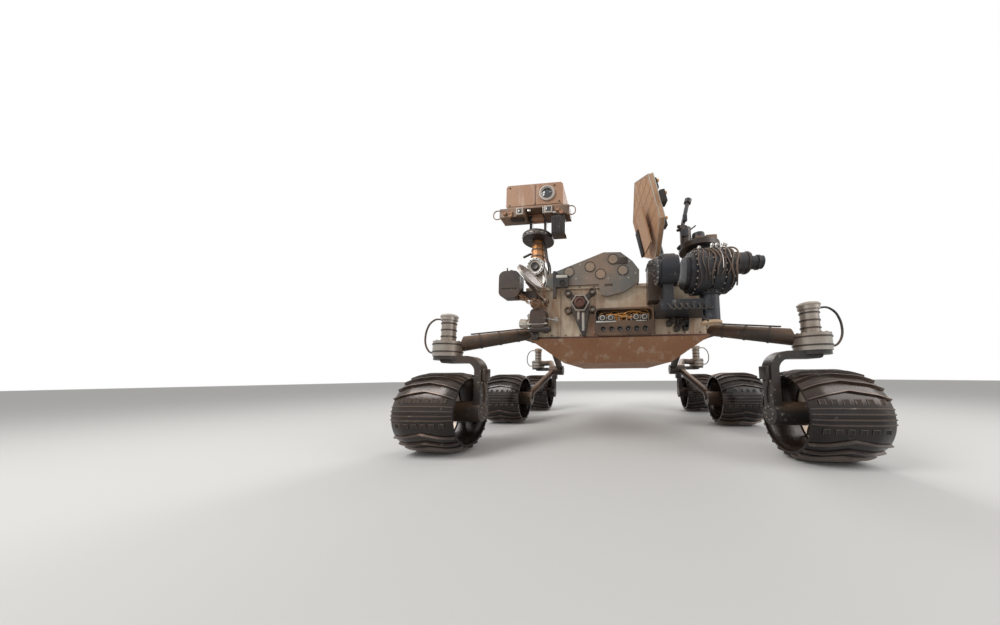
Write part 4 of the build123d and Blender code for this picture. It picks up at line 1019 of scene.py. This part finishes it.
def makeBay(values):
    low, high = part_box("camera_bay")
    makeBayWires(values, low, high)
    shelf = values["shelf"]
    edges = [
        block((low.x + 0.012, low.y - 0.004, 0.838), (low.x + 0.15, low.y + 0.004, 0.849), 0.002),
        block((low.x + 0.28, low.y - 0.004, 0.842), (high.x - 0.05, low.y + 0.004, 0.849), 0.002),
    ]
    fit(edges, "bay_edge", "camera_bay", "silver")
    lens = [(0, 0.0125), (0.002, 0.011), (0.004, 0.006), (0.0045, 0)]
    sleeve = [(0, 0.0155), (0, 0.018), (0.003, 0.018), (0.004, 0.0125), (0, 0.0125), (0, 0.0155)]
    places = [(x, faceY - 0.068, shelf + 0.021) for x in values["cameras"]]
    lenses = [turned(lens, place, toFront, 20) for place in places]
    sleeves = [turned(sleeve, place, toFront, 24) for place in places]
    studs = []
    for x in values["studs"]:
        top = shelf + random.uniform(0.02, 0.05)
        studs.append(rod((x, faceY - 0.045, shelf), (x, faceY - 0.045, top), 0.006, 10))
    fit(lenses, "bay_lenses", "front_cameras", "glass")
    fit(sleeves, "bay_sleeves", "front_cameras", "pale_fitting")
    fit(studs, "bay_studs", "camera_bay", "bare_metal")
    left, right = low.x + 0.016, high.x - 0.016
    lining = block((left, faceY - 0.0125, shelf + 0.002), (right, faceY - 0.0116, 0.922), 0.0003, 1)
    fit(lining, "bay_lining", "camera_bay", "matt_black")
    well = [(0, 0.0135), (0.014, 0.0135), (0.016, 0.018), (0.012, 0.019), (0.012, 0.0165), (0, 0.0135)]
    glass = [(0, 0.0135), (0.003, 0.008), (0.0035, 0)]
    middleX, middleZ = values["wellMiddle"]
    numbers = [number - (values["wells"] - 1) / 2 for number in range(values["wells"])]
    places = [(middleX + values["wellPitch"] * number, low.y + 0.012, middleZ) for number in numbers]
    fit([turned(well, place, toFront, 24) for place in places], "bay_wells", "camera_bay", "dark_metal")
    fit([turned(glass, place, toFront, 20) for place in places], "bay_well_glass", "camera_bay", "glass")


makeBay(bayValues)
print("camera bay dressed")


# deck hood: round pads, bolts and flaps, and the small camera's strap beside it
hoodValues = {
    "pads": ((-0.331, 1.222), (-0.18, 1.252), (-0.105, 1.196), (-0.016, 1.3), (0.052, 1.216)),
    "padRadius": 0.033,
    "bolts": (
        (-0.41, 1.2),
        (-0.25, 1.27),
        (-0.28, 1.17),
        (-0.05, 1.16),
        (0.1, 1.28),
        (0.14, 1.19),
        (0.09, 1.16),
        (-0.2, 1.17),
    ),
    # from the hood's face
    "flaps": (
        ((0.01, -0.004, 1.262), (0.085, 0.004, 1.31), 0.003),
        ((-0.08, -0.001, 1.105), (-0.02, 0.006, 1.125), 0.003),
    ),
    "strapLensZ": 1.135,
}


def makeHood(values):
    low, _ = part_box("deck_hood")
    radius = values["padRadius"]
    pad = [(0, 0), (0, radius), (0.004, radius - 0.001), (0.005, 0)]
    rim = [(0, radius), (0.005, radius), (0.006, 0.037), (0, 0.038), (0, radius)]
    places = [(x, low.y, z) for x, z in values["pads"]]
    fit([turned(pad, place, toFront, 32) for place in places], "hood_pads", "deck_hood", "pad_tan")
    fit([turned(rim, place, toFront, 32) for place in places], "hood_pad_rims", "deck_hood", "dark_metal")
    spots = [((x, low.y + 0.005, z), toFront) for x, z in values["bolts"]]
    fit(bolts(spots, 0.007, 0.006), "hood_bolts", "deck_hood", "bare_metal")
    fit(blocksFrom((0, low.y, 0), values["flaps"]), "hood_flaps", "deck_hood", "tube_brown")
    low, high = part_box("hood_camera")
    plate = block((low.x + 0.024, low.y - 0.003, 1.17), (high.x - 0.004, low.y + 0.004, 1.191), 0.002)
    fit(plate, "strap_plate", "hood_camera", "pale_fitting")
    line = [(0, 0), (0, 0.022), (0.004, 0.022), (0.006, 0.017), (0.002, 0.013), (0.002, 0)]
    lens = turned(line, (high.x - 0.04, low.y, values["strapLensZ"]), toFront, 28)
    fit(lens, "strap_lens", "hood_camera", "matt_black")


makeHood(hoodValues)
print("hood dressed")


# arm: bolt rings, harness, straps and connectors round the shoulder's drum
shoulderValues = {
    "z": 1.09,
    # along the axis from the shoulder, and radius
    "boltRings": ((-0.012, 0.127), (0.053, 0.125), (0.1, 0.12), (-0.1, 0.124)),
    "boltCount": 22,
    "faceOut": 0.1205,
    "faceRing": 0.098,
    "faceBolts": 16,
    "harness": 9,
    "harnessRadius": 0.1375,
    "wireRadii": (0.003, 0.0045),
    # place along the axis, first angle and last angle
    "straps": ((0.03, -0.2, 1.5), (0.075, 0.2, 1.9)),
    "strapRadius": 0.1385,
    "connectors": (
        (0.0, -0.06, 0.126),
        (0.03, -0.05, 0.131),
        (0.08, -0.045, 0.128),
        (0.055, -0.075, 0.118),
        (-0.07, -0.05, 0.118),
    ),
    "columnWires": 6,
}


def roundShoulder(values, along, radius, angle):
    # angles start at the front and go over the top
    return (armX + along, armY - radius * math.cos(angle), values["z"] + radius * math.sin(angle))


def makeShoulder(values):
    centre = Vector((armX, armY, values["z"]))
    rings = []
    for out, radius in values["boltRings"]:
        place = centre + Vector((out, 0, 0))
        rings.append(bolts(radialSpots(place, toPort, radius, values["boltCount"]), 0.005, 0.006))
    face = centre + Vector((values["faceOut"], 0, 0))
    rings.append(bolts(ringSpots(face, toPort, values["faceRing"], values["faceBolts"]), 0.006, 0.006))
    fit(rings, "shoulder_bolts", "arm_shoulder", "bare_metal")
    wires = []
    for number in range(values["harness"]):
        along = -0.09 + 0.2 * number / (values["harness"] - 1)
        first, last = random.uniform(-1.0, -0.4), random.uniform(1.8, 2.6)
        points = []
        for step in range(9):
            sway = 0.01 * math.sin(step * 1.7 + number)
            angle = first + (last - first) * step / 8
            points.append(roundShoulder(values, along + sway, values["harnessRadius"], angle))
        wires.append(run(points, random.choice(values["wireRadii"])))
    fit(wires, "shoulder_harness", "arm_shoulder", "cable_black")
    bright = []
    for along, first, last in values["straps"]:
        angles = [first + (last - first) * step / 7 for step in range(8)]
        points = [roundShoulder(values, along, values["strapRadius"], angle) for angle in angles]
        bright.append(run(points, 0.0028))
    plug = [(0, 0), (0, 0.008), (0.01, 0.008), (0.012, 0.011), (0.024, 0.011), (0.026, 0.007), (0.03, 0)]
    for offset in values["connectors"]:
        bright.append(turned(plug, centre + Vector(offset), (0.3, -0.2, 1), 14))
    fit(bright, "shoulder_connectors", "arm_shoulder", "silver")
    wires = []
    for number in range(values["columnWires"]):
        angle = -2.4 + 0.32 * number
        points = []
        for step in range(5):
            radius = 0.061 + 0.01 * math.sin(step * 2.1 + number)
            x, y = armX + radius * math.cos(angle), armY + radius * math.sin(angle)
            points.append((x, y, 0.955 + 0.028 * step))
        wires.append(run(points, 0.004))
    fit(wires, "column_wires", "arm_shoulder", "cable_black")


# arm base: bolts on the fixed drum, boxes and wires on the bracket, the column's foot
baseValues = {
    "drumRing": 0.078,
    "drumBolts": 14,
    "boxes": 9,
    "loops": 7,
    # from the arm's upright axis, with real heights
    "bundle": ((-0.052, -0.012, 0.93), (-0.06, -0.03, 0.88), (-0.052, -0.02, 0.82), (-0.03, -0.045, 0.785)),
    "footZ": 0.775,
}


def makeArmBase(values):
    low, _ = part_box("arm_base")
    drum = (low.x - 0.0001, armY, shoulderValues["z"] + 0.025)
    spots = ringSpots(drum, (-1, 0, 0), values["drumRing"], values["drumBolts"])
    fit(bolts(spots, 0.006, 0.006), "fixed_drum_bolts", "arm_base", "bare_metal")
    boxes = []
    for _ in range(values["boxes"]):
        x = random.uniform(0.3, 0.48)
        z = random.uniform(0.8, 0.86)
        boxes.append(block((x, faceY - 0.05, z - 0.03), (x + 0.03, faceY - 0.002, z + 0.01), 0.004))
    fit(boxes, "bracket_boxes", "arm_base", "dark_metal")
    loops = []
    for number in range(values["loops"]):
        x = 0.3 + 0.035 * number
        points = [
            (x, armY - 0.032, 0.9),
            (x + 0.012, armY - 0.05, 0.87 + random.uniform(-0.01, 0.01)),
            (x + 0.03, armY - 0.052, 0.86),
            (x + 0.045, armY - 0.034, 0.9),
        ]
        loops.append(run(points, 0.004))
    loops.append(run([(armX + x, armY + y, z) for x, y, z in values["bundle"]], 0.007))
    fit(loops, "bracket_wires", "arm_base", "cable_black")
    foot = [(0, 0), (0, 0.045), (0.004, 0.058), (0.016, 0.058), (0.02, 0.051), (0.02, 0)]
    fit(turned(foot, (armX, armY, values["footZ"]), toTop, 40), "column_foot", "arm_base", "tan_cap")


# upper arm: cap rings on its hub, and bands and cables along the tube
upperValues = {
    "hub": (armX + 0.1213, armY, 1.14),
    "tubeOut": 0.0515,
    "endZ": 1.232,
    "bands": (0.12, 0.3, 0.5, 0.7, 0.88),
    "tubeRadius": 0.048,
    "cableShares": (0.06, 0.3, 0.5, 0.7, 0.94),
    "cableOut": (0.018, 0.029),
}


def makeUpperArm(values):
    hub = values["hub"]
    caps = [band(0.0615, 0.066, 0.011, shifted(hub, (x, 0, 0)), toPort, 44, 0) for x in (0.03, 0.085)]
    caps.append(band(0.038, 0.044, 0.014, shifted(hub, (0.15, 0, 0)), toPort, 40, 0, 0.002))
    caps.append(bolts(ringSpots(shifted(hub, (0.103, 0, 0)), toPort, 0.052, 12), 0.005, 0.005))
    fit(caps, "hub_caps", "upper_arm", "dark_metal")
    _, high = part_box("upper_arm")
    tubeX = hub[0] + values["tubeOut"]
    start, end = Vector((tubeX, armY, hub[2])), Vector((tubeX, high.y - 0.072, values["endZ"]))
    bands = []
    for share in values["bands"]:
        radius = values["tubeRadius"] - 0.004 * share
        place = start.lerp(end, share)
        bands.append(band(radius - 0.001, radius + 0.0035, 0.014, place, (end - start).normalized(), 32))
    fit(bands, "upper_arm_bands", "upper_arm", "dark_metal")
    cables = []
    for out in values["cableOut"]:
        points = [start.lerp(end, share) + Vector((out, 0, 0.05)) for share in values["cableShares"]]
        cables.append(run(points, 0.0045))
    fit(cables, "upper_arm_cable", "upper_arm", "cable_black")


# turret: rim and tools on its top, and fittings on the drill
turretValues = {
    "rimZ": 1.407,
    "rimRadius": 0.1425,
    "grooves": (1.414, 1.424, 1.434),
    # from the turret's axis, with real heights
    "toolBlocks": (
        ((0.02, -0.1, 1.446), (0.1, -0.04, 1.486), 0.008),
        ((-0.06, -0.12, 1.446), (-0.01, -0.07, 1.47), 0.006),
    ),
    "toolRods": (
        ((0.08, 0.03, 1.446), (0.08, 0.03, 1.5), 0.02),
        ((0.03, 0.06, 1.446), (0.03, 0.06, 1.48), 0.026),
    ),
    "drill": (-0.098, -0.02),
    # from the drill's axis, with real heights
    "drillRods": (
        ((-0.06, -0.01, 1.598), (0.01, -0.01, 1.592), 0.012),
        ((-0.062, 0, 1.572), (-0.03, 0, 1.58), 0.01),
        ((0.03, -0.005, 1.565), (0.075, -0.01, 1.598), 0.005),
        ((-0.03, 0.02, 1.46), (-0.055, 0.02, 1.435), 0.014),
        ((-0.006, -0.018, 1.62), (0.02, -0.018, 1.78), 0.005),
        ((0.024, 0, 1.8), (0.05, 0, 1.788), 0.012),
    ),
    "drillBlocks": (
        ((-0.042, -0.045, 1.5), (0.012, -0.034, 1.56), 0.004),
        ((-0.02, -0.03, 1.63), (0.012, -0.01, 1.68), 0.004),
    ),
    "tip": (0.032, 0, 1.8115),
}


def makeTurret(values):
    low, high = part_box("turret")
    x, y = (low.x + high.x) / 2, (low.y + high.y) / 2
    rims = [band(0.136, values["rimRadius"], 0.04, (x, y, values["rimZ"]), toTop, 64, 0, 0.002)]
    groove = [(0, 0.141), (0.002, 0.1435), (0.004, 0.141), (0, 0.141)]
    rims += [turned(groove, (x, y, z), toTop, 64) for z in values["grooves"]]
    fit(rims, "turret_rim", "turret", "dark_metal")
    tools = blocksFrom((x, y, 0), values["toolBlocks"]) + rodsFrom((x, y, 0), values["toolRods"])
    fit(tools, "turret_tools", "turret", "head_brown")
    drill = shifted((x, y, 0), values["drill"] + (0,))
    fittings = rodsFrom(drill, values["drillRods"]) + blocksFrom(drill, values["drillBlocks"])
    fit(fittings, "drill_fittings", "turret_drill", "arm_dark")
    line = [(0, 0), (0, 0.02), (0.006, 0.022), (0.01, 0.012), (0.012, 0)]
    tip = turned(line, shifted(drill, values["tip"]), (0.14, 0, 1), 20)
    fit(tip, "drill_tip_cap", "turret_drill", "silver")


makeShoulder(shoulderValues)
makeArmBase(baseValues)
makeUpperArm(upperValues)
makeTurret(turretValues)
print("arm dressed")


# steerable antenna: fittings behind the plate, an edge strip and a faint grid on its face
antennaValues = {
    "turn": 6.0,
    "lean": 12.5,
    # the plate stands on a corner: its corners' reach and half width, and its thickness
    "reach": 0.29,
    "halfWidth": 0.2511,
    "faceOut": 0.03,
    "gridAcross": (-0.2, -0.12, -0.04, 0.04, 0.12, 0.2),
    "gridUp": (-0.21, -0.14, -0.07, 0.0, 0.07, 0.14, 0.21),
    "gridMargin": 0.006,
    # boxes behind the plate: across, up, width, height, depth
    "boxes": (
        (-0.2, 0.1, 0.05, 0.07, 0.026),
        (-0.24, -0.02, 0.06, 0.08, 0.034),
        (-0.18, -0.14, 0.05, 0.07, 0.026),
        (0.12, 0.1, 0.1, 0.08, 0.02),
        (0.12, -0.1, 0.1, 0.08, 0.02),
    ),
    # the painted shade plate, a black sheet where the plate's lower part lies in shadow: across, up, and out from
    # the plate's back
    "shade": (0.205, -0.05, 0.042),
}


def makeAntenna(values):
    turn, lean = math.radians(values["turn"]), math.radians(values["lean"])
    pivot = Vector(joints["antenna_elevation"]["pos_m"])
    level = math.cos(lean)
    normal = Vector((-math.cos(turn) * level, -math.sin(turn) * level, -math.sin(lean)))
    across = Vector((-math.sin(turn), math.cos(turn), 0))
    upward = across.cross(normal)
    if upward.z < 0:
        upward = -upward
    facing = Matrix((across, upward, -normal)).transposed().to_4x4()
    back = pivot + normal * 0.024
    reach, half = values["reach"], values["halfWidth"]
    corners = ((0, reach), (half, reach / 2), (half, -reach / 2))
    corners += tuple((-a, -u) for a, u in corners)
    outline = [back + across * a + upward * u for a, u in corners]
    strips = []
    for first, second in zip(outline, outline[1:] + outline[:1]):
        strips.append(rod(first + normal * 0.001, second + normal * 0.001, 0.0035, 8))
        face = normal * values["faceOut"]
        strips.append(rod(first + face, second + face, 0.003, 8))
    fit(strips, "antenna_edge", "antenna_plate", "pale_fitting")
    boxes, knobs = [], []
    for a, u, width, height, depth in values["boxes"]:
        box = block((-width / 2, -height / 2, 0), (width / 2, height / 2, depth), 0.004)
        box.matrix_world = Matrix.Translation(back + across * a + upward * u) @ facing
        boxes.append(applied(box))
        knob = back + across * (a - 0.01) + upward * (u + height * 0.3)
        knobs.append(rod(knob - normal * depth, knob - normal * (depth + 0.014), 0.01))
    # a thin black plate near the lower edge, painted shade for the shadow under the plate
    shade = block((-0.035, -0.11, 0), (0.035, 0.09, 0.012), 0.003)
    a, u, out = values["shade"]
    shade.matrix_world = Matrix.Translation(back + normal * out + across * a + upward * u) @ facing
    fit(shade, "antenna_shade", "antenna_plate", "matt_black")
    fit(boxes, "antenna_boxes", "antenna_plate", "matt_black")
    fit(knobs, "antenna_knobs", "antenna_plate", "gold_wire")
    front = back + normal * (values["faceOut"] + 0.0003)
    slope, margin = 1.732, values["gridMargin"]
    lines = []
    for up in values["gridUp"]:
        side = across * (min(half, (reach - abs(up)) * slope) - margin)
        lines.append(rod(front + upward * up - side, front + upward * up + side, 0.0012, 6))
    for aside in values["gridAcross"]:
        side = upward * (reach - abs(aside) / slope - margin)
        lines.append(rod(front + across * aside - side, front + across * aside + side, 0.0012, 6))
    fit(lines, "antenna_grid", "antenna_plate", "head_tan")
    low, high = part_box("antenna_post")
    cuffLow = (low.x - 0.004, low.y - 0.004, high.z - 0.02)
    cuff = block(cuffLow, (high.x + 0.004, high.y - 0.002, high.z - 0.004), 0.003)
    fit(cuff, "post_cuff", "antenna_post", "dark_metal")
    base = joints["antenna_azimuth"]["pos_m"]
    cable = [shifted(base, offset) for offset in ((0.03, 0, 0.012), (0.045, 0.02, 0.1))]
    cable += [shifted(pivot, offset) for offset in ((0.045, 0.01, -0.12), (0.03, 0, -0.03))]
    fit(run(cable, 0.005), "antenna_cable", "antenna_arm", "cable_black")


makeAntenna(antennaValues)
print("antenna dressed")


# steering drives: a cap, bolts and dark bands on each
cornerNames = ("front_port", "front_starboard", "rear_port", "rear_starboard")
steeringValues = {
    "housingTop": 0.7161,
    "housingRing": 0.075,
    "columnTop": 0.8841,
    "columnRing": 0.04,
    "capZ": 0.8845,
    # height and the drive's radius there
    "bands": ((0.64, 0.092), (0.69, 0.092), (0.745, 0.046), (0.79, 0.046), (0.835, 0.046)),
}


def makeSteering(values):
    dome = [(0, 0), (0, 0.056), (0.006, 0.058), (0.016, 0.05), (0.022, 0.03), (0.023, 0)]
    caps, spots, bands = [], [], []
    for name in cornerNames:
        x, y, _ = joints["steer_" + name]["pos_m"]
        spots += ringSpots((x, y, values["housingTop"]), toTop, values["housingRing"], 12)
        spots += ringSpots((x, y, values["columnTop"]), toTop, values["columnRing"], 8)
        caps.append(turned(dome, (x, y, values["capZ"]), toTop, 36))
        for z, radius in values["bands"]:
            bands.append(band(radius - 0.001, radius + 0.004, 0.01, (x, y, z), toTop, 40))
    fit(caps, "steering_caps", "steering_drives", "pale_fitting")
    fit(bolts(spots, 0.006, 0.006), "steering_bolts", "steering_drives", "bare_metal")
    fit(bands, "steering_bands", "steering_drives", "dark_metal")


# suspension arms: harness and clamps along the rocker's tubes, caps and bolts on its pivots
legValues = {
    "pivot": (0.69, 0.023, 0.832),
    "knee": (0.696, -0.857, 0.8),
    "cornerZ": 0.688,
    "rearClamps": (0.25, 0.5, 0.75),
    "frontClamps": (0.1, 0.35, 0.6),
    "rockerCapX": 0.752,
    "rockerBoltsX": 0.7401,
    "bogiePivot": (0.83, 0.483, 0.56),
}


def makeLeg(values, sideName, side):
    pivot, knee = (Vector(values[key]) * Vector((side, 1, 1)) for key in ("pivot", "knee"))
    corner = Vector(joints["steer_front_" + sideName]["pos_m"])
    corner.z = values["cornerZ"]
    rocker = "rocker_" + sideName
    wires = []
    for out in (0.0, 0.012):
        route = (
            (pivot, (-0.08, 0.046)),
            (pivot.lerp(knee, 0.4), (0, 0.047)),
            (pivot.lerp(knee, 0.75), (0, 0.047)),
            (knee, (0.02, 0.049)),
            (knee.lerp(corner, 0.3), (0, 0.053)),
            (knee.lerp(corner, 0.72), (0, 0.06)),
        )
        points = [place + Vector((side * out, along, up)) for place, (along, up) in route]
        wires.append(run(points, 0.005))
    fit(wires, "rocker_harness_" + sideName, rocker, "cable_black")
    clamps = []
    for share in values["rearClamps"]:
        place, heading = pivot.lerp(knee, share), (knee - pivot).normalized()
        clamps.append(band(0.041, 0.0445, 0.016, place, heading, 36))
    for share in values["frontClamps"]:
        place, heading = knee.lerp(corner, share), (corner - knee).normalized()
        radius = 0.042 + 0.012 * share
        clamps.append(band(radius - 0.001, radius + 0.004, 0.014, place, heading, 36))
    fit(clamps, "rocker_clamps_" + sideName, rocker, "dark_metal")
    outward = (side, 0, 0)
    line = [(0, 0), (0, 0.05), (0.006, 0.05), (0.01, 0.04), (0.012, 0)]
    cap = turned(line, (side * values["rockerCapX"], pivot.y, pivot.z), outward, 40)
    spots = ringSpots((side * values["rockerBoltsX"], pivot.y, pivot.z), outward, 0.066, 12)
    fit([cap, bolts(spots, 0.006, 0.007)], "rocker_cap_" + sideName, rocker, "bare_metal")
    x, y, z = values["bogiePivot"]
    line = [(0, 0), (0, 0.04), (0.008, 0.038), (0.012, 0.02), (0.012, 0)]
    cap = turned(line, (side * x, y, z), outward, 36)
    heads = bolts(ringSpots((side * x, y, z), outward, 0.05, 10), 0.005, 0.006)
    fit([cap, heads], "bogie_cap_" + sideName, "bogie_" + sideName, "bare_metal")


# yokes: bolts, a cable and a box on each leg's inner face
yokeValues = {
    "faceIn": 0.264,
    "boltRing": 0.038,
    "legBolts": ((-0.036, 0.36), (-0.036, 0.44), (0.036, 0.36), (0.036, 0.44)),
    # beside the wheel's axle and up
    "cable": ((0.01, 0.532), (-0.014, 0.46), (0.01, 0.38), (0.01, 0.31)),
    "boxHalf": 0.04,
    "boxFromTo": (0.45, 0.53),
    "boxDepth": 0.024,
}


def makeYoke(values, name):
    x, y, _ = joints["steer_" + name]["pos_m"]
    side = 1 if x > 0 else -1
    inner, yoke = x - side * values["faceIn"], "yoke_" + name
    inward = (-side, 0, 0)
    spots = ringSpots((inner, y, wheelValues["lugTop"]), inward, values["boltRing"], 8)
    spots += [((inner, y + beside, up), inward) for beside, up in values["legBolts"]]
    fit(bolts(spots, 0.005, 0.006), "yoke_bolts_" + name, yoke, "bare_metal")
    cable = [(inner - side * 0.004, y + beside, up) for beside, up in values["cable"]]
    fit(run(cable, 0.005), "yoke_cable_" + name, yoke, "cable_black")
    ends = sorted((inner - side * 0.0002, inner - side * values["boxDepth"]))
    half, (bottom, top) = values["boxHalf"], values["boxFromTo"]
    box = block((ends[0], y - half, bottom), (ends[1], y + half, top), 0.006)
    fit(box, "yoke_box_" + name, yoke, "dark_metal")


makeSteering(steeringValues)
for sideName, side in (("port", 1), ("starboard", -1)):
    makeLeg(legValues, sideName, side)
for cornerName in cornerNames:
    makeYoke(yokeValues, cornerName)
print("legs dressed")


# rear: tubes that wind over the exchangers, rings and bolts on the generator
rearValues = {
    "turns": 7,
    "tubeRadius": 0.006,
    "plateX": 0.409,
    "tubeOut": 0.0115,
    "tubeLength": 0.51,
    "boltRing": 0.118,
    "boltCount": 16,
}


def makeRear(values):
    low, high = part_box("heat_exchangers")
    bottom, top = low.z + 0.04, high.z - 0.04
    last = high.y - 0.03
    first = last - values["tubeLength"]
    tubes = []
    for side in (-1, 1):
        for faceSign in (-1, 1):
            x = side * values["plateX"] + faceSign * values["tubeOut"]
            points = []
            for number in range(values["turns"]):
                z = bottom + (top - bottom) * number / (values["turns"] - 1)
                start, end = (first, last) if number % 2 == 0 else (last, first)
                points += [(x, start, z), (x, (start + end) / 2, z), (x, end, z)]
            tubes.append(run(points, values["tubeRadius"], 1))
    fit(tubes, "exchanger_tubes", "heat_exchangers", "bare_metal")
    low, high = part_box("generator")
    z = (low.z + high.z) / 2
    spots = ringSpots((0, high.y - 0.036, z), toRear, values["boltRing"], values["boltCount"])
    fit(bolts(spots, 0.007, 0.007), "generator_bolts", "generator", "bare_metal")
    rings = [band(0.131, 0.1355, 0.013, (0, y, z), toRear, 64, 0) for y in (low.y + 0.008, high.y - 0.06)]
    fit(rings, "generator_rings", "generator", "dark_metal")


# deck: cable trays and harness, windings on the relay antenna, the colour patch's pin
deckValues = {
    # from the deck's top
    "trays": (
        ((-0.532, 0.05, 0.0003), (-0.508, 0.48, 0.014), 0.003),
        ((0.508, 0.05, 0.0003), (0.532, 0.48, 0.014), 0.003),
        ((-0.5, 0.3, 0.0003), (0.5, 0.318, 0.012), 0.003),
        ((-0.02, -0.55, 0.0003), (0.02, 0.06, 0.012), 0.003),
    ),
    # from the mast's axis across, and along the deck
    "harness": ((0.1, mastY + 0.09), (0.12, -0.4), (0.13, -0.1), (0.12, 0.2)),
    "harnessShifts": (0.0, 0.012, 0.024),
    "windingRadius": 0.0795,
    "windingSteps": 24,
    "windingRise": 0.2,
}


def makeDeck(values):
    fit(blocksFrom((0, 0, deckTop), values["trays"]), "deck_trays", "top_deck", "pale_fitting")
    cables = []
    for shift in values["harnessShifts"]:
        cables.append(run([(mastX + x + shift, y, deckTop + 0.006) for x, y in values["harness"]], 0.005))
    fit(cables, "deck_harness", "top_deck", "cable_black")
    low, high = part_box("relay_antenna")
    middleX, middleY = (low.x + high.x) / 2, (low.y + high.y) / 2
    radius, steps = values["windingRadius"], values["windingSteps"]
    windings = []
    for startAngle in (0, math.pi):
        points = []
        for step in range(steps + 1):
            angle = startAngle + step * math.pi / 6
            x, y = middleX + radius * math.cos(angle), middleY + radius * math.sin(angle)
            points.append((x, y, low.z + 0.02 + values["windingRise"] * step / steps))
        windings.append(run(points, 0.003, 1))
    fit(windings, "relay_windings", "relay_antenna", "gold_wire")
    line = [(0, 0), (0, 0.088), (0.008, 0.088), (0.012, 0.08), (0.012, 0)]
    base = turned(line, (middleX, middleY, deckTop + 0.0004), toTop, 48)
    fit(base, "relay_base", "relay_antenna", "dark_metal")
    low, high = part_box("colour_target")
    place = ((low.x + high.x) / 2, (low.y + high.y) / 2, high.z)
    line = [(0, 0), (0, 0.01), (0.004, 0.006), (0.03, 0.005), (0.034, 0.009), (0.044, 0.009), (0.05, 0)]
    fit(turned(line, place, toTop, 20), "target_pin", "colour_target", "matt_black")


makeRear(rearValues)
makeDeck(deckValues)
print("rear and deck dressed")


cameraSettings = {
    "place": (-0.03, -2.787, 0.47),
    "yaw": 5.9,
    "pitch": 5.9,
    "roll": 0.4,
    "lens": 9.36,
    "shiftX": -0.086,
    "shiftY": 0.038,
}


def setCamera(values):
    turns = [math.radians(angle) for angle in (90 + values["pitch"], values["roll"], values["yaw"])]
    bpy.ops.object.camera_add(location=values["place"], rotation=turns)
    camera = bpy.context.object
    camera.data.lens = values["lens"]
    camera.data.shift_x = values["shiftX"]
    camera.data.shift_y = values["shiftY"]
    camera.data.clip_start = 0.01
    bpy.context.scene.camera = camera


studioSettings = {
    "floorSize": 60,
    "floorColour": (0.62, 0.61, 0.59, 1),
    "worldStrength": 0.5,
    "aim": (0, 0, 0.7),
    # name, place, size, watts
    "lamps": (
        ("keyLamp", (-3.6, -3.4, 4.6), 3.0, 190),
        ("fillLamp", (4.2, -2.6, 3.0), 3.0, 85),
        ("backLamp", (1.0, 4.5, 4.5), 3.5, 150),
    ),
}


def setStudio(values):
    # a floor, three lamps, and a sky that is white to the camera and dimmer as light
    bpy.ops.mesh.primitive_plane_add(size=values["floorSize"])
    floor = bpy.context.object
    floor.name = "studioFloor"
    plain = Finish("floor_finish")
    floor.data.materials.append(plain.done({"Base Color": values["floorColour"], "Roughness": 0.9}))
    for name, place, size, watts in values["lamps"]:
        bpy.ops.object.light_add(type="AREA", location=place)
        lamp = bpy.context.object
        lamp.name = name
        lamp.data.shape = "DISK"
        lamp.data.size = size
        lamp.data.energy = watts
        aim = Vector(values["aim"]) - Vector(place)
        lamp.rotation_euler = aim.to_track_quat("-Z", "Y").to_euler()
    world = bpy.data.worlds.new("studioWorld")
    bpy.context.scene.world = world
    world.use_nodes = True
    tree = world.node_tree
    tree.nodes.clear()
    rays = tree.nodes.new("ShaderNodeLightPath")
    seen = Wire(tree, rays.outputs["Is Camera Ray"]) + Wire(tree, rays.outputs["Is Glossy Ray"])
    seen = (seen + Wire(tree, rays.outputs["Is Transmission Ray"])).clipped()
    strength = seen * (1 - values["worldStrength"]) + values["worldStrength"]
    sky = tree.nodes.new("ShaderNodeBackground")
    tree.links.new(strength.socket, sky.inputs["Strength"])
    sky.inputs["Color"].default_value = (1, 1, 1, 1)
    output = tree.nodes.new("ShaderNodeOutputWorld")
    tree.links.new(sky.outputs[0], output.inputs["Surface"])
    bpy.context.scene.view_settings.view_transform = "Standard"


setCamera(cameraSettings)
setStudio(studioSettings)
print("camera and studio set")
